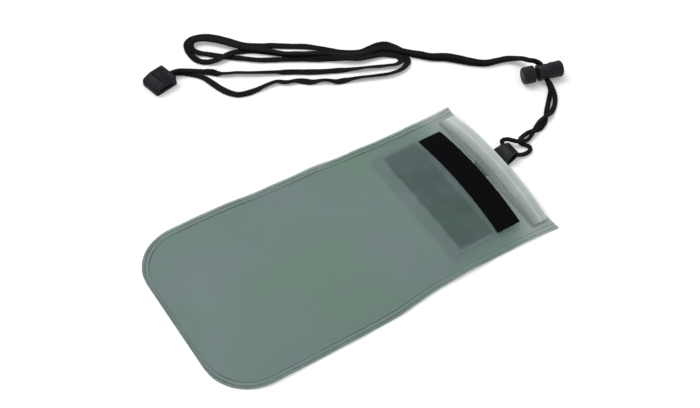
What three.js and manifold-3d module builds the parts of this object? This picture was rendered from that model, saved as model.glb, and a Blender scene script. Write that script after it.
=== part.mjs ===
// A waterproof roll-top pouch with a neck cord, lying flat on its back. Two welded films carry a
// press seal, a hook strip, a loop patch and a hanging tab. A flat cord is threaded through the tab
// and runs through a spring cord lock to a snap-shut end clip.
//
// Millimetres. +Z is up and +Y runs from the closed bottom to the mouth. The origin is under the
// middle of the pouch and its tab. Pouch pieces are built with y = 0 at the bottom edge.

import * as THREE from 'three';
import { mergeVertices } from 'three/addons/utils/BufferGeometryUtils.js';
import Module from 'manifold-3d';

const wasm = await Module();
wasm.setup();

// Pouch films
const POUCH_LENGTH = 200; // bottom edge to mouth edge
const BASE_HALF_WIDTH = 56.2;
const WAIST_HALF_WIDTH = 50.9;
const MOUTH_HALF_WIDTH = 51.8;
const TAPER_START = 60; // height of the last full-width row
const WAIST_DISTANCE = 50; // waist, measured down from the mouth
const FLARE_DISTANCE = 14; // where the sides flare out again, measured down from the mouth
const CORNER_RADIUS = 26;
const SEAM_WIDTH = 5;
const FILM = 0.4;
const CLEARANCE = 0.3; // gap between pieces that lie on each other
const SLOPE_CLEARANCE = 0.38; // the same gap on a sloping film, measured upright

// Height of the front film's swell over its seam, along the middle of the pouch
const BODY_SWELL = 8;
const NECK_SWELL = 7.4;
const MOUTH_SWELL = 8.9;
const SWELL_POWER = 0.8;
const BOTTOM_RAMP = 24;
const NECK_START = 60; // start of the neck, measured down from the mouth
const NECK_END = 35;
const MOUTH_RISE_START = 22;
const MOUTH_RISE_END = 3;

// Hook strip on the front film
const HOOK_HALF_LENGTH = 38.5;
const HOOK_WIDTH = 14.5;
const HOOK_THICKNESS = 1.6;
const HOOK_DISTANCE = 12.5; // mouth edge to the strip

// Loop patch under the rear film
const PATCH_HALF_LENGTH = 37.5;
const PATCH_WIDTH = 25;
const PATCH_BACKING = 0.5;
const PATCH_DISTANCE = 32; // mouth edge to the patch
const PATCH_CORNER = 3;
const PILE_WIDTH = 17.5;
const PILE_HALF_LENGTH = 36.5;
const PILE_DEPTH = 1.2;
const LIFT_RAMP = 9; // length over which the rear film comes down again beside the patch

// Press seal: a ribbed strip under the front film and a grooved strip on the rear film
const SEAL_WIDTH = 9;
const SEAL_DISTANCE = 0.8; // mouth edge to the strips
const SEAL_BASE = 0.5;
const SEAL_RIB = 0.5;
const SEAL_RIB_WIDTH = 0.8;
const SEAL_RIB_PITCH = 2.4;
const SEAL_FRACTION = 0.88; // part of the way to the side seams that the strips run

// Hanging tab, a strip folded into a loop behind the rear film
const TAB_X = -4;
const TAB_ROOT_WIDTH = 13.4;
const TAB_TIP_WIDTH = 8.4;
const TAB_STRIP = 0.8;
const TAB_REACH = 14; // mouth edge to the tip of the loop
const TAB_LOOP_RADIUS = 2.6;
const TAB_WELD = 1.5; // mouth edge to the closed end of the loop
const TAB_ROOT = 12; // length welded behind the rear film

// Flat cord
const CORD_WIDTH = 3.4;
const CORD_THICKNESS = 1.4;

// Cord lock, with its axis along the local Y axis and the cord through its origin
const LOCK_PLACE = [-42.4, 154.2];
const LOCK_TURN = THREE.MathUtils.degToRad(-15.7);
const BARREL_RADIUS = 4.8;
const BARREL_WALL = 1.7;
const BARREL_RIM = 1.6; // end of the barrel to its cord hole
const BARREL_DOME = 1.8; // rounding of the closed end
const STEM_RADIUS = 2.8;
const BUTTON_RADIUS = 5;
const BUTTON_LENGTH = 7;
const BUTTON_ROUNDING = 1.6;
const BUTTON_GAP = 2.5; // button to barrel at rest
const BUTTON_TRAVEL = 2.2;
const STEM_END = 1.6; // stem past its slot
const HOLE_CORNER = 0.8;
const SPRING_LENGTH = 5.4;
const SPRING_WIRE = 0.5;
const SPRING_RADIUS = 2.2;
const SPRING_TURNS = 4;

// End clip, with the cord running in along its local -Y axis
const CLIP_PLACE = [-155.8, -34.3];
const CLIP_TURN = THREE.MathUtils.degToRad(12);
const CLIP_WIDTH = 13;
const CLIP_LENGTH = 13.4;
const CLIP_HEIGHT = 6;
const CLIP_CORNER = 3.2;
const CLIP_EDGE = 0.7;
const CLIP_CHANNEL_X = 0; // middle of the cord channel
const CLIP_CHANNEL_DEPTH = 8.5;
const GRIP_WIDTH = 8.6;
const GRIP_LENGTH = 6.4;
const GRIP_DEPTH = 0.6;
const GRIP_INSET = 1.3; // grip panel to the cord end of the clip
const GRIP_RIBS = 4;
const GRIP_RIB_WIDTH = 0.7;

const PART_LENGTH = POUCH_LENGTH + TAB_REACH;
const POUCH_START = -PART_LENGTH / 2;
const SEAM_TOP = FILM + CLEARANCE + FILM;
const CORD_STACK = 2 * CORD_THICKNESS + CLEARANCE + 0.1;

// The two strands, from the middle of the tab's loop to the clip
const STRAND_A = [
  [-3.75, 103.6, 2], [0.9, 103.7, 2], [3.2, 106.4, 2.1], [2.4, 111.0, 2.4], [-1.0, 113.9, 3.2],
  [-5.4, 114.4, 3.8], [-9.6, 115.4, 2.6], [-12.2, 119.5, 0.8], [-14.6, 130.0, 0.8],
  [-17.8, 138.0, 0.8], [-22.8, 145.6, 0.9], [-28.2, 149.6, 2.6], [-33.7, 151.8, 4.1],
  [-37.0, 152.7, 4.1], [-47.8, 155.7, 4.1], [-51.1, 156.6, 4.1], [-56.6, 156.6, 2.4],
  [-61.4, 152.6, 0.9], [-65.0, 145.0, 0.8], [-67.4, 134.6, 0.8], [-73.0, 125.8, 0.8],
  [-84.0, 115.2, 0.8], [-96.0, 103.6, 0.8], [-106.0, 99.0, 0.8], [-114.4, 93.4, 0.8],
  [-116.4, 84.0, 0.8], [-121.0, 71.3, 0.8], [-145.4, 41.0, 0.8], [-155.5, 25.6, 0.8],
  [-172.9, 10.1, 0.8], [-177.9, 3.4, 0.8], [-179.2, -2.0, 0.8], [-176.6, -6.6, 0.8],
  [-170.4, -8.8, 0.8], [-163.0, -9.2, 0.8], [-156.8, -6.4, 0.8], [-154.6, 1.5, 0.8],
  [-150.4, 12.0, 0.8], [-115.4, 65.0, 0.8], [-109.2, 79.5, 0.8], [-105.0, 89.2, 0.8],
  [-100.2, 93.0, 0.8], [-96.6, 90.6, 0.8], [-97.8, 83.6, 0.8], [-104.6, 67.6, 0.8],
  [-115.8, 45.2, 0.8], [-139.2, 6.8, 0.8], [-142.6, -2.0, 0.8], [-147.4, -8.2, 0.8],
  [-154.2, -16.8, 1.2], [-158.0, -23.8, 2.1], [-156.9, -29.2, 2.1], [-155.7, -34.9, 2.1],
];
const STRAND_B = [
  [-4.25, 103.6, 2], [-9.0, 103.8, 2], [-12.4, 105.4, 2.0], [-13.6, 108.6, 1.8],
  [-11.4, 111.2, 1.2], [-7.9, 112.6, 0.8], [-6.0, 115.6, 0.8], [-6.6, 120.5, 1.6],
  [-8.6, 127.5, 2.7], [-12.2, 134.8, 2.7], [-16.4, 142.0, 2.7], [-21.4, 147.2, 3.0],
  [-27.6, 150.2, 4.6], [-33.7, 151.8, 5.9], [-37.0, 152.7, 5.9], [-47.8, 155.7, 5.9],
  [-51.1, 156.6, 5.9], [-57.0, 157.4, 4.6], [-62.4, 154.4, 3.2], [-66.6, 146.2, 2.7],
  [-69.2, 135.2, 2.7], [-74.4, 126.6, 2.7], [-84.6, 116.2, 2.7], [-97.0, 102.4, 2.7],
  [-104.6, 97.4, 4.4], [-111.4, 92.2, 4.6], [-113.2, 83.0, 4.6], [-117.6, 71.3, 4.6],
  [-126.8, 56.5, 4.4], [-138.5, 40.5, 2.7], [-150.0, 27.0, 2.7], [-169.4, 8.4, 2.7],
  [-174.0, 3.8, 2.7], [-175.8, -1.2, 2.7], [-174.0, -5.2, 2.7], [-170.4, -5.8, 2.6],
  [-165.8, -2.6, 1.4], [-161.2, 2.8, 0.8], [-156.4, 12.6, 0.8], [-132.4, 47.4, 0.8],
  [-120.6, 66.6, 2.7], [-113.2, 82.0, 2.7], [-110.2, 90.2, 2.7], [-105.8, 94.3, 2.5],
  [-100.2, 97.2, 1.2], [-94.4, 96.0, 0.8], [-90.6, 90.2, 0.8], [-90.6, 82.4, 0.8],
  [-98.4, 64.0, 0.8], [-102.2, 52.6, 0.8], [-115.0, 33.6, 0.8], [-121.6, 18.0, 0.8],
  [-122.4, 4.6, 0.8], [-126.4, -4.6, 0.8], [-134.0, -8.6, 0.8], [-143.0, -10.8, 2.0],
  [-148.6, -12.6, 3.2], [-154.6, -17.6, 3.4], [-158.0, -23.8, 3.9], [-156.9, -29.2, 3.9],
  [-155.7, -34.9, 3.9],
];

const smooth = (from, to, value) => THREE.MathUtils.smoothstep(value, from, to);
const mix = THREE.MathUtils.lerp;
const ascending = (a, b) => a - b;
const distinct = (values, step) =>
  values.sort(ascending).filter((value, i, all) => i === 0 || value - all[i - 1] > step);

function material(color, roughness, metalness = 0, opacity = 1) {
  return new THREE.MeshStandardMaterial({
    color, roughness, metalness, opacity, transparent: opacity < 1,
  });
}

function part(name, geometry, look) {
  const mesh = new THREE.Mesh(geometry, look);
  mesh.name = name;
  return mesh;
}

// A solid whose shared corners are one, ready to be joined or cut.
function solid(geometry, matrix = new THREE.Matrix4()) {
  const bare = geometry.clone().applyMatrix4(matrix);
  bare.deleteAttribute('normal');
  bare.deleteAttribute('uv');
  const merged = mergeVertices(bare, 1e-4);
  return new wasm.Manifold(new wasm.Mesh({
    numProp: 3,
    vertProperties: new Float32Array(merged.attributes.position.array),
    triVerts: new Uint32Array(merged.index.array),
  }));
}

function geometryOf(manifold) {
  const { vertProperties, triVerts } = manifold.getMesh();
  const geometry = new THREE.BufferGeometry();
  geometry.setAttribute('position', new THREE.BufferAttribute(new Float32Array(vertProperties), 3));
  geometry.setIndex(new THREE.BufferAttribute(new Uint32Array(triVerts), 1));
  geometry.computeVertexNormals();
  return geometry;
}

const at = (x, y, z) => new THREE.Matrix4().makeTranslation(x, y, z);

// A closed sheet made from a box grid. place(column, row, face) gives the place of each corner,
// with face 0 below and 1 above.
function sheet(columns, rows, place) {
  const grid = new THREE.BoxGeometry(2, 2, 1, columns - 1, rows - 1, 1);
  const corner = grid.attributes.position;
  for (let i = 0; i < corner.count; i += 1) {
    const column = Math.round(((corner.getX(i) + 1) / 2) * (columns - 1));
    const row = Math.round(((corner.getY(i) + 1) / 2) * (rows - 1));
    corner.setXYZ(i, ...place(column, row, corner.getZ(i) > 0 ? 1 : 0));
  }
  grid.computeVertexNormals();
  return grid;
}

function roundedRectangle(width, length, radius) {
  const x = width / 2;
  const y = length / 2;
  const shape = new THREE.Shape();
  shape.moveTo(-x + radius, -y);
  shape.lineTo(x - radius, -y);
  shape.absarc(x - radius, -y + radius, radius, -Math.PI / 2, 0, false);
  shape.lineTo(x, y - radius);
  shape.absarc(x - radius, y - radius, radius, 0, Math.PI / 2, false);
  shape.lineTo(-x + radius, y);
  shape.absarc(-x + radius, y - radius, radius, Math.PI / 2, Math.PI, false);
  shape.lineTo(-x, -y + radius);
  shape.absarc(-x + radius, -y + radius, radius, Math.PI, 1.5 * Math.PI, false);
  return shape;
}

// Pouch outline and heights

const INNER_RADIUS = CORNER_RADIUS - SEAM_WIDTH;
const ROW_STEP = 0.5; // rows closer than this are one
const COLUMN_STEP = 0.005; // the same for columns, as a part of the half width
const CORNER_ANGLES = [52, 72, 90].map(THREE.MathUtils.degToRad);
const EDGE_ANGLES = [12, 34].map(THREE.MathUtils.degToRad); // rows across the bottom seam

function halfWidth(y) {
  const down = POUCH_LENGTH - y;
  const taper = smooth(TAPER_START, POUCH_LENGTH - WAIST_DISTANCE, y);
  const body = mix(BASE_HALF_WIDTH, WAIST_HALF_WIDTH, taper);
  return mix(body, MOUTH_HALF_WIDTH, 1 - smooth(0, FLARE_DISTANCE, down));
}

// One row of the pouch: the end of the outer edge, and the end of the line inside the seam.
const cornerRow = (angle) => ({
  outer: [
    BASE_HALF_WIDTH - CORNER_RADIUS * (1 - Math.sin(angle)),
    CORNER_RADIUS * (1 - Math.cos(angle)),
  ],
  inner: [
    BASE_HALF_WIDTH - CORNER_RADIUS + INNER_RADIUS * Math.sin(angle),
    CORNER_RADIUS - INNER_RADIUS * Math.cos(angle),
  ],
});
const straightRow = (y) => ({ outer: [halfWidth(y), y], inner: [halfWidth(y) - SEAM_WIDTH, y] });

function pouchRows(heights) {
  const [bottom, seam] = EDGE_ANGLES.map(cornerRow);
  return [
    { outer: bottom.outer, inner: [bottom.inner[0], 0] },
    { outer: seam.outer, inner: [seam.inner[0], SEAM_WIDTH] },
    ...CORNER_ANGLES.map(cornerRow),
    ...distinct(heights.filter((y) => y > CORNER_RADIUS + ROW_STEP), ROW_STEP).map(straightRow),
  ];
}

function swell(y) {
  const down = POUCH_LENGTH - y;
  const reach = THREE.MathUtils.clamp((y - SEAM_WIDTH) / BOTTOM_RAMP, 0, 1);
  const rise = (1 - (1 - reach) ** 2) ** SWELL_POWER;
  const body = mix(NECK_SWELL, BODY_SWELL, smooth(NECK_END, NECK_START, down));
  return rise * mix(MOUTH_SWELL, body, smooth(MOUTH_RISE_END, MOUTH_RISE_START, down));
}

// Top of the front film, at a place given as a part of the way from the middle to the seam.
const frontTop = (fraction, y) =>
  SEAM_TOP + swell(y) * Math.max(0, 1 - fraction ** 2) ** SWELL_POWER;

const innerHalf = (y) => halfWidth(y) - SEAM_WIDTH;

// Films

const hookTop = POUCH_LENGTH - HOOK_DISTANCE;
const hookBottom = hookTop - HOOK_WIDTH;
const patchTop = POUCH_LENGTH - PATCH_DISTANCE;
const patchBottom = patchTop - PATCH_WIDTH;
const sealTop = POUCH_LENGTH - SEAL_DISTANCE;
const sealBottom = sealTop - SEAL_WIDTH;
const tabRoot = POUCH_LENGTH - TAB_ROOT;

const BODY_ROWS = [0.21, 0.3, 0.4, 0.5, 0.6, 0.69, 0.76, 0.815].map((n) => n * POUCH_LENGTH);
const SWELL_COLUMNS = [0, 0.2, 0.4, 0.58, 0.74, SEAL_FRACTION];
const frontRows = pouchRows([
  ...BODY_ROWS, hookBottom, (hookBottom + hookTop) / 2, hookTop, sealBottom,
  (sealBottom + sealTop) / 2, POUCH_LENGTH,
]);
const frontColumns = distinct([
  -1, 1, ...SWELL_COLUMNS, ...SWELL_COLUMNS.map((fraction) => -fraction),
], COLUMN_STEP);

// Places one corner of a film. The first and last columns are the welded edge.
function filmPlace(rows, columns, column, row, height) {
  const side = rows[row];
  if (column === 0 || column === columns.length + 1) {
    return [(column === 0 ? -1 : 1) * side.outer[0], side.outer[1], height(null, side.outer[1])];
  }
  const fraction = columns[column - 1];
  const [half, y] = side.inner;
  return [fraction * half, y, height(fraction, y, fraction * half)];
}

const frontFilm = sheet(frontColumns.length + 2, frontRows.length, (column, row, face) =>
  filmPlace(frontRows, frontColumns, column, row, (fraction, y) => {
    const flat = fraction === null || row < 2;
    return (flat ? SEAM_TOP : frontTop(fraction, y)) - (face ? 0 : FILM);
  }));

// The rear film lies flat and climbs over the patch and the root of the tab.
const PATCH_LIFT = PILE_DEPTH + PATCH_BACKING + CLEARANCE;
const TAB_LIFT = TAB_STRIP + CLEARANCE;

function lift(x, y, box, height) {
  const outX = Math.max(box.left - x, x - box.right, 0);
  const outY = Math.max(box.bottom - y, y - box.top, 0);
  return height * Math.max(0, 1 - Math.max(outX / box.side, outY / LIFT_RAMP));
}

const narrowest = innerHalf(patchTop);
const patchBox = {
  left: -PATCH_HALF_LENGTH - CLEARANCE,
  right: PATCH_HALF_LENGTH + CLEARANCE,
  bottom: patchBottom - CLEARANCE,
  top: patchTop + CLEARANCE,
  side: (narrowest - PATCH_HALF_LENGTH - CLEARANCE) / 2,
};
const tabBox = {
  left: TAB_X - TAB_ROOT_WIDTH / 2 - CLEARANCE,
  right: TAB_X + TAB_ROOT_WIDTH / 2 + CLEARANCE,
  bottom: tabRoot - CLEARANCE,
  top: POUCH_LENGTH,
  side: LIFT_RAMP,
};
const rearRows = pouchRows([
  ...BODY_ROWS.filter((y) => y < patchBottom - LIFT_RAMP - CLEARANCE),
  ...[patchBox, tabBox].flatMap((box) => [
    box.bottom - LIFT_RAMP, box.bottom, box.top, Math.min(box.top + LIFT_RAMP, POUCH_LENGTH),
  ]),
]);
const rearColumns = distinct([
  -1, 1, ...[patchBox, tabBox].flatMap((box) =>
  [box.left - box.side, box.left, box.right, box.right + box.side].map((x) => x / narrowest)),
], COLUMN_STEP);

const rearTop = (x, y) =>
  FILM + Math.max(lift(x, y, patchBox, PATCH_LIFT), lift(x, y, tabBox, TAB_LIFT));

const rearFilm = sheet(rearColumns.length + 2, rearRows.length, (column, row, face) =>
  filmPlace(rearRows, rearColumns, column, row, (fraction, y, x) => {
    const flat = fraction === null || Math.abs(fraction) === 1 || row < 2;
    // The film's own widening below and above the patch keeps its columns outside the patch.
    const place = flat ? 0 : fraction * narrowest;
    return (flat ? FILM : rearTop(place, y)) - (face ? 0 : FILM);
  }));

// Hook strip and loop patch

const hookColumns = distinct([
  -HOOK_HALF_LENGTH, HOOK_HALF_LENGTH,
  ...frontColumns.map((fraction) => fraction * innerHalf(hookTop))
    .filter((x) => Math.abs(x) < HOOK_HALF_LENGTH - ROW_STEP),
], ROW_STEP);
const hookRows = [hookBottom, (hookBottom + hookTop) / 2, hookTop];
const hookStrip = sheet(hookColumns.length, hookRows.length, (column, row, face) => {
  const x = hookColumns[column];
  const y = hookRows[row];
  const bottom = frontTop(x / innerHalf(y), y) + SLOPE_CLEARANCE;
  return [x, y, bottom + (face ? HOOK_THICKNESS : 0)];
});

const plate = (width, length, radius, depth) =>
  new THREE.ExtrudeGeometry(roundedRectangle(width, length, radius), {
    depth, bevelEnabled: false, curveSegments: 4,
  });
const pileMiddle = patchTop - (PATCH_HALF_LENGTH - PILE_HALF_LENGTH) - PILE_WIDTH / 2;
const loopPatch = geometryOf(
  solid(
    plate(2 * PATCH_HALF_LENGTH, PATCH_WIDTH, PATCH_CORNER, PATCH_BACKING),
    at(0, (patchBottom + patchTop) / 2, PILE_DEPTH),
  ).add(solid(
    plate(2 * PILE_HALF_LENGTH, PILE_WIDTH, PATCH_CORNER / 2, PILE_DEPTH + PATCH_BACKING / 2),
    at(0, pileMiddle, 0),
  )),
);

// Press seal

// Cross-section of a seal strip: its base, and ribs on one side of it at the given places.
function sealProfile(ribs) {
  const shape = new THREE.Shape();
  shape.moveTo(0, 0);
  shape.lineTo(SEAL_WIDTH, 0);
  shape.lineTo(SEAL_WIDTH, SEAL_BASE);
  for (const middle of [...ribs].reverse()) {
    shape.lineTo(middle + SEAL_RIB_WIDTH / 2, SEAL_BASE);
    shape.lineTo(middle + SEAL_RIB_WIDTH / 3, SEAL_BASE + SEAL_RIB);
    shape.lineTo(middle - SEAL_RIB_WIDTH / 3, SEAL_BASE + SEAL_RIB);
    shape.lineTo(middle - SEAL_RIB_WIDTH / 2, SEAL_BASE);
  }
  shape.lineTo(0, SEAL_BASE);
  return shape;
}

// A strip across the mouth. place(x, y, t) puts a profile point that is t above the strip's back.
function sealStrip(ribs, columns, place) {
  const geometry = new THREE.ExtrudeGeometry(sealProfile(ribs), {
    depth: 1, steps: columns.length - 1, bevelEnabled: false,
  });
  const corner = geometry.attributes.position;
  for (let i = 0; i < corner.count; i += 1) {
    const fraction = columns[Math.round(corner.getZ(i) * (columns.length - 1))];
    const y = sealBottom + corner.getX(i);
    corner.setXYZ(i, ...place(fraction, y, corner.getY(i)));
  }
  geometry.computeVertexNormals();
  return geometry;
}

const sealMiddle = SEAL_WIDTH / 2;
const RIBS = [-0.5, 0.5].map((n) => sealMiddle + n * SEAL_RIB_PITCH);
const LIPS = [-1, 0, 1].map((n) => sealMiddle + n * SEAL_RIB_PITCH);
const sealColumns = frontColumns.filter((fraction) => Math.abs(fraction) <= SEAL_FRACTION);
const sealRearColumns = distinct([
  ...sealColumns,
  ...rearColumns.filter((fraction) => Math.abs(fraction) < SEAL_FRACTION),
], COLUMN_STEP);
const sealRibs = sealStrip(RIBS, sealColumns, (fraction, y, t) => {
  const back = frontTop(fraction, y) - FILM - SLOPE_CLEARANCE;
  return [-fraction * innerHalf(y), y, back - t];
});
const sealGrooves = sealStrip(LIPS, sealRearColumns, (fraction, y, t) =>
  [fraction * innerHalf(y), y, rearTop(fraction * narrowest, y) + CLEARANCE + t]);

// Hanging tab

// The loop seen from the side: a thin root, and a drop-shaped loop that ends in a round tip.
const loopTip = POUCH_LENGTH + TAB_REACH - TAB_LOOP_RADIUS;
const loopWeld = POUCH_LENGTH + TAB_WELD;

function tabOutline() {
  const shape = new THREE.Shape();
  shape.moveTo(tabRoot, 0);
  shape.lineTo(loopTip, 0);
  shape.absarc(loopTip, TAB_LOOP_RADIUS, TAB_LOOP_RADIUS, -Math.PI / 2, Math.PI / 2, false);
  shape.lineTo(loopWeld, 2 * TAB_STRIP);
  shape.lineTo(loopWeld - TAB_STRIP, TAB_STRIP);
  shape.lineTo(tabRoot, TAB_STRIP);
  return shape;
}

function tabEye() {
  const radius = TAB_LOOP_RADIUS - TAB_STRIP;
  const shape = new THREE.Shape();
  shape.moveTo(loopWeld + 2 * TAB_STRIP, TAB_STRIP);
  shape.lineTo(loopTip, TAB_STRIP);
  shape.absarc(loopTip, TAB_LOOP_RADIUS, radius, -Math.PI / 2, Math.PI / 2, false);
  return shape;
}

// Stands a side view across the tab, which narrows from its root to its tip.
function acrossTab(shape, spare) {
  const geometry = new THREE.ExtrudeGeometry(shape, {
    depth: 1, bevelEnabled: false, curveSegments: 8,
  });
  const corner = geometry.attributes.position;
  for (let i = 0; i < corner.count; i += 1) {
    const y = corner.getX(i);
    const along = THREE.MathUtils.clamp((y - POUCH_LENGTH) / TAB_REACH, 0, 1);
    const width = mix(TAB_ROOT_WIDTH, TAB_TIP_WIDTH, along) + spare;
    corner.setXYZ(i, TAB_X + width * (corner.getZ(i) - 0.5), y, corner.getY(i));
  }
  return solid(geometry);
}

const tab = geometryOf(acrossTab(tabOutline(), 0).subtract(acrossTab(tabEye(), 2)));

// Flat cord

// A route whose rings stand on its chosen points, with the cord's flat side kept level.
class CordRoute extends THREE.CatmullRomCurve3 {
  getSpacedPoints(divisions) {
    return this.getPoints(divisions);
  }

  computeFrenetFrames(segments) {
    const frames = { tangents: [], normals: [], binormals: [] };
    for (let i = 0; i <= segments; i += 1) {
      const tangent = this.getTangent(i / segments).normalize();
      const side = new THREE.Vector3(0, 0, 1).cross(tangent).normalize();
      frames.tangents.push(tangent);
      frames.normals.push(side);
      frames.binormals.push(new THREE.Vector3().crossVectors(tangent, side));
    }
    return frames;
  }
}

function cordSection() {
  const x = CORD_WIDTH / 2;
  const y = CORD_THICKNESS / 2;
  return new THREE.Shape([
    [-x, -y / 2], [-x * 0.75, -y], [x * 0.75, -y], [x, -y / 2],
    [x, y / 2], [x * 0.75, y], [-x * 0.75, y], [-x, y / 2],
  ].map(([u, v]) => new THREE.Vector2(u, v)));
}

function cord(points) {
  const route = new CordRoute(points.map((point) => new THREE.Vector3(...point)));
  return new THREE.ExtrudeGeometry(cordSection(), {
    steps: points.length - 1, extrudePath: route, bevelEnabled: false,
  });
}

// Cord lock

const boreRadius = BARREL_RADIUS - BARREL_WALL;
const holeHeight = CORD_STACK + 2 * CLEARANCE;
const holeStart = -CORD_WIDTH / 2 - CLEARANCE;
const barrelMouth = holeStart - BARREL_RIM;
const buttonFace = barrelMouth - BUTTON_GAP;
const slotStart = holeStart - BUTTON_TRAVEL;
const slotEnd = CORD_WIDTH / 2 + CLEARANCE;
const holeEnd = slotEnd + BUTTON_TRAVEL;
const stemTop = slotEnd + STEM_END;
const springStart = stemTop + CLEARANCE;
const boreEnd = springStart + SPRING_LENGTH + CLEARANCE;
const barrelEnd = boreEnd + BARREL_WALL;

const lathe = (profile) =>
  new THREE.LatheGeometry(profile.map(([r, y]) => new THREE.Vector2(r, y)), 28);

// A hole across the lock, for the cord, from one place on its axis to another.
function crossHole(start, end, height) {
  const shape = roundedRectangle(height, end - start, HOLE_CORNER);
  const slot = new THREE.ExtrudeGeometry(shape, {
    depth: 4 * BARREL_RADIUS, bevelEnabled: false, curveSegments: 5,
  });
  slot.translate(0, (start + end) / 2, -2 * BARREL_RADIUS);
  return solid(slot, new THREE.Matrix4().makeRotationY(Math.PI / 2));
}

const barrelRound = BARREL_RADIUS - BARREL_DOME;
const barrel = geometryOf(solid(lathe([
  [boreRadius, barrelMouth], [BARREL_RADIUS - 0.4, barrelMouth], [BARREL_RADIUS, barrelMouth + 0.4],
  [BARREL_RADIUS, barrelEnd - BARREL_DOME],
  [barrelRound + BARREL_DOME * Math.cos(Math.PI / 6), barrelEnd - BARREL_DOME / 2],
  [barrelRound + BARREL_DOME / 2, barrelEnd - BARREL_DOME * (1 - Math.sin(Math.PI / 3))],
  [barrelRound, barrelEnd], [0, barrelEnd], [0, boreEnd], [boreRadius, boreEnd],
  [boreRadius, barrelMouth],
])).subtract(crossHole(holeStart, holeEnd, holeHeight)));

const buttonEnd = buttonFace - BUTTON_LENGTH;
const buttonNeck = BUTTON_RADIUS - BUTTON_ROUNDING;
const plunger = geometryOf(solid(lathe([
  [0, buttonEnd], [buttonNeck, buttonEnd],
  [buttonNeck + BUTTON_ROUNDING / 2, buttonEnd + BUTTON_ROUNDING * (1 - Math.sin(Math.PI / 3))],
  [buttonNeck + BUTTON_ROUNDING * Math.cos(Math.PI / 6), buttonEnd + BUTTON_ROUNDING / 2],
  [BUTTON_RADIUS, buttonEnd + BUTTON_ROUNDING],
  [BUTTON_RADIUS, buttonFace - 0.5], [BUTTON_RADIUS - 0.5, buttonFace],
  [STEM_RADIUS, buttonFace], [STEM_RADIUS, stemTop], [0, stemTop],
])).subtract(crossHole(slotStart, slotEnd, holeHeight)));

class Helix extends THREE.Curve {
  getPoint(t) {
    const angle = 2 * Math.PI * SPRING_TURNS * t;
    const climb = SPRING_LENGTH - SPRING_WIRE;
    return new THREE.Vector3(
      SPRING_RADIUS * Math.cos(angle), springStart + SPRING_WIRE / 2 + climb * t,
      SPRING_RADIUS * Math.sin(angle),
    );
  }
}

const wire = new THREE.Shape();
wire.absarc(0, 0, SPRING_WIRE / 2, 0, 2 * Math.PI, false);
const spring = new THREE.ExtrudeGeometry(wire, {
  steps: 12 * SPRING_TURNS, curveSegments: 3, extrudePath: new Helix(), bevelEnabled: false,
});

// End clip

const partingHeight = CLIP_HEIGHT / 2;
const channelWidth = CORD_WIDTH + 2 * CLEARANCE;
const channelHeight = CORD_STACK + 2 * CLEARANCE;

function clipHalf(height) {
  const shape = roundedRectangle(
    CLIP_WIDTH - 2 * CLIP_EDGE, CLIP_LENGTH - 2 * CLIP_EDGE, CLIP_CORNER - CLIP_EDGE,
  );
  const bevel = new THREE.ExtrudeGeometry(shape, {
    depth: 2 * height, bevelEnabled: true, bevelThickness: CLIP_EDGE, bevelSize: CLIP_EDGE,
    bevelSegments: 2, curveSegments: 4,
  });
  // The bevelled block is twice as high as the half, which keeps only its lower end.
  const block = solid(bevel, at(0, 0, CLIP_EDGE));
  const spare = new THREE.BoxGeometry(2 * CLIP_WIDTH, 2 * CLIP_LENGTH, 4 * height);
  return block.subtract(solid(spare, at(0, 0, 3 * height)));
}

function cordChannel() {
  const depth = CLIP_CHANNEL_DEPTH + CLIP_EDGE;
  const box = new THREE.BoxGeometry(channelWidth, depth, channelHeight);
  return solid(box, at(CLIP_CHANNEL_X, CLIP_LENGTH / 2 + CLIP_EDGE - depth / 2, partingHeight));
}

const halfHeight = partingHeight - CLEARANCE / 2;
const clipBase = geometryOf(clipHalf(halfHeight).subtract(cordChannel()));

function gripPanel() {
  const middle = CLIP_LENGTH / 2 - GRIP_INSET - GRIP_LENGTH / 2;
  const recess = new THREE.BoxGeometry(GRIP_WIDTH, GRIP_LENGTH, 2 * GRIP_DEPTH);
  let panel = solid(recess, at(0, middle, CLIP_HEIGHT));
  const pitch = GRIP_LENGTH / (GRIP_RIBS + 0.5);
  for (let i = 0; i < GRIP_RIBS; i += 1) {
    const y = middle - GRIP_LENGTH / 2 + pitch * (i + 0.75);
    const rib = new THREE.BoxGeometry(2 * GRIP_WIDTH, GRIP_RIB_WIDTH, 4 * GRIP_DEPTH);
    panel = panel.subtract(solid(rib, at(0, y, CLIP_HEIGHT)));
  }
  return panel;
}

const turnedOver = new THREE.Matrix4().makeRotationY(Math.PI).setPosition(0, 0, CLIP_HEIGHT);
const clipCover = geometryOf(
  solid(geometryOf(clipHalf(halfHeight)), turnedOver).subtract(cordChannel()).subtract(gripPanel()),
);

// Assembly

const film = material(0x8fa69f, 0.35, 0, 0.6);
const seal = material(0xb6c0bd, 0.4, 0, 0.8);
const tape = material(0x101014, 0.95);
const patch = material(0x2a2c30, 0.9);
const vinyl = material(0x2b2d30, 0.45);
const braid = material(0x18181a, 0.9);
const blackPlastic = material(0x232227, 0.5);
const greyPlastic = material(0x2a2c30, 0.5);
const steel = material(0x9a9da1, 0.3, 1);

const pouch = new THREE.Group();
pouch.position.y = POUCH_START;
pouch.add(
  part('front_film', frontFilm, film),
  part('rear_film', rearFilm, film.clone()),
  part('seal_ribs', sealRibs, seal),
  part('seal_grooves', sealGrooves, seal.clone()),
  part('hook_strip', hookStrip, tape),
  part('loop_patch', loopPatch, patch),
  part('hanging_tab', tab, vinyl),
);

const lock = new THREE.Group();
lock.position.set(LOCK_PLACE[0], LOCK_PLACE[1], BUTTON_RADIUS);
lock.rotation.z = LOCK_TURN;
lock.add(
  part('lock_barrel', barrel, blackPlastic),
  part('lock_plunger', plunger, blackPlastic.clone()),
  part('lock_spring', spring, steel),
);

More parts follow.
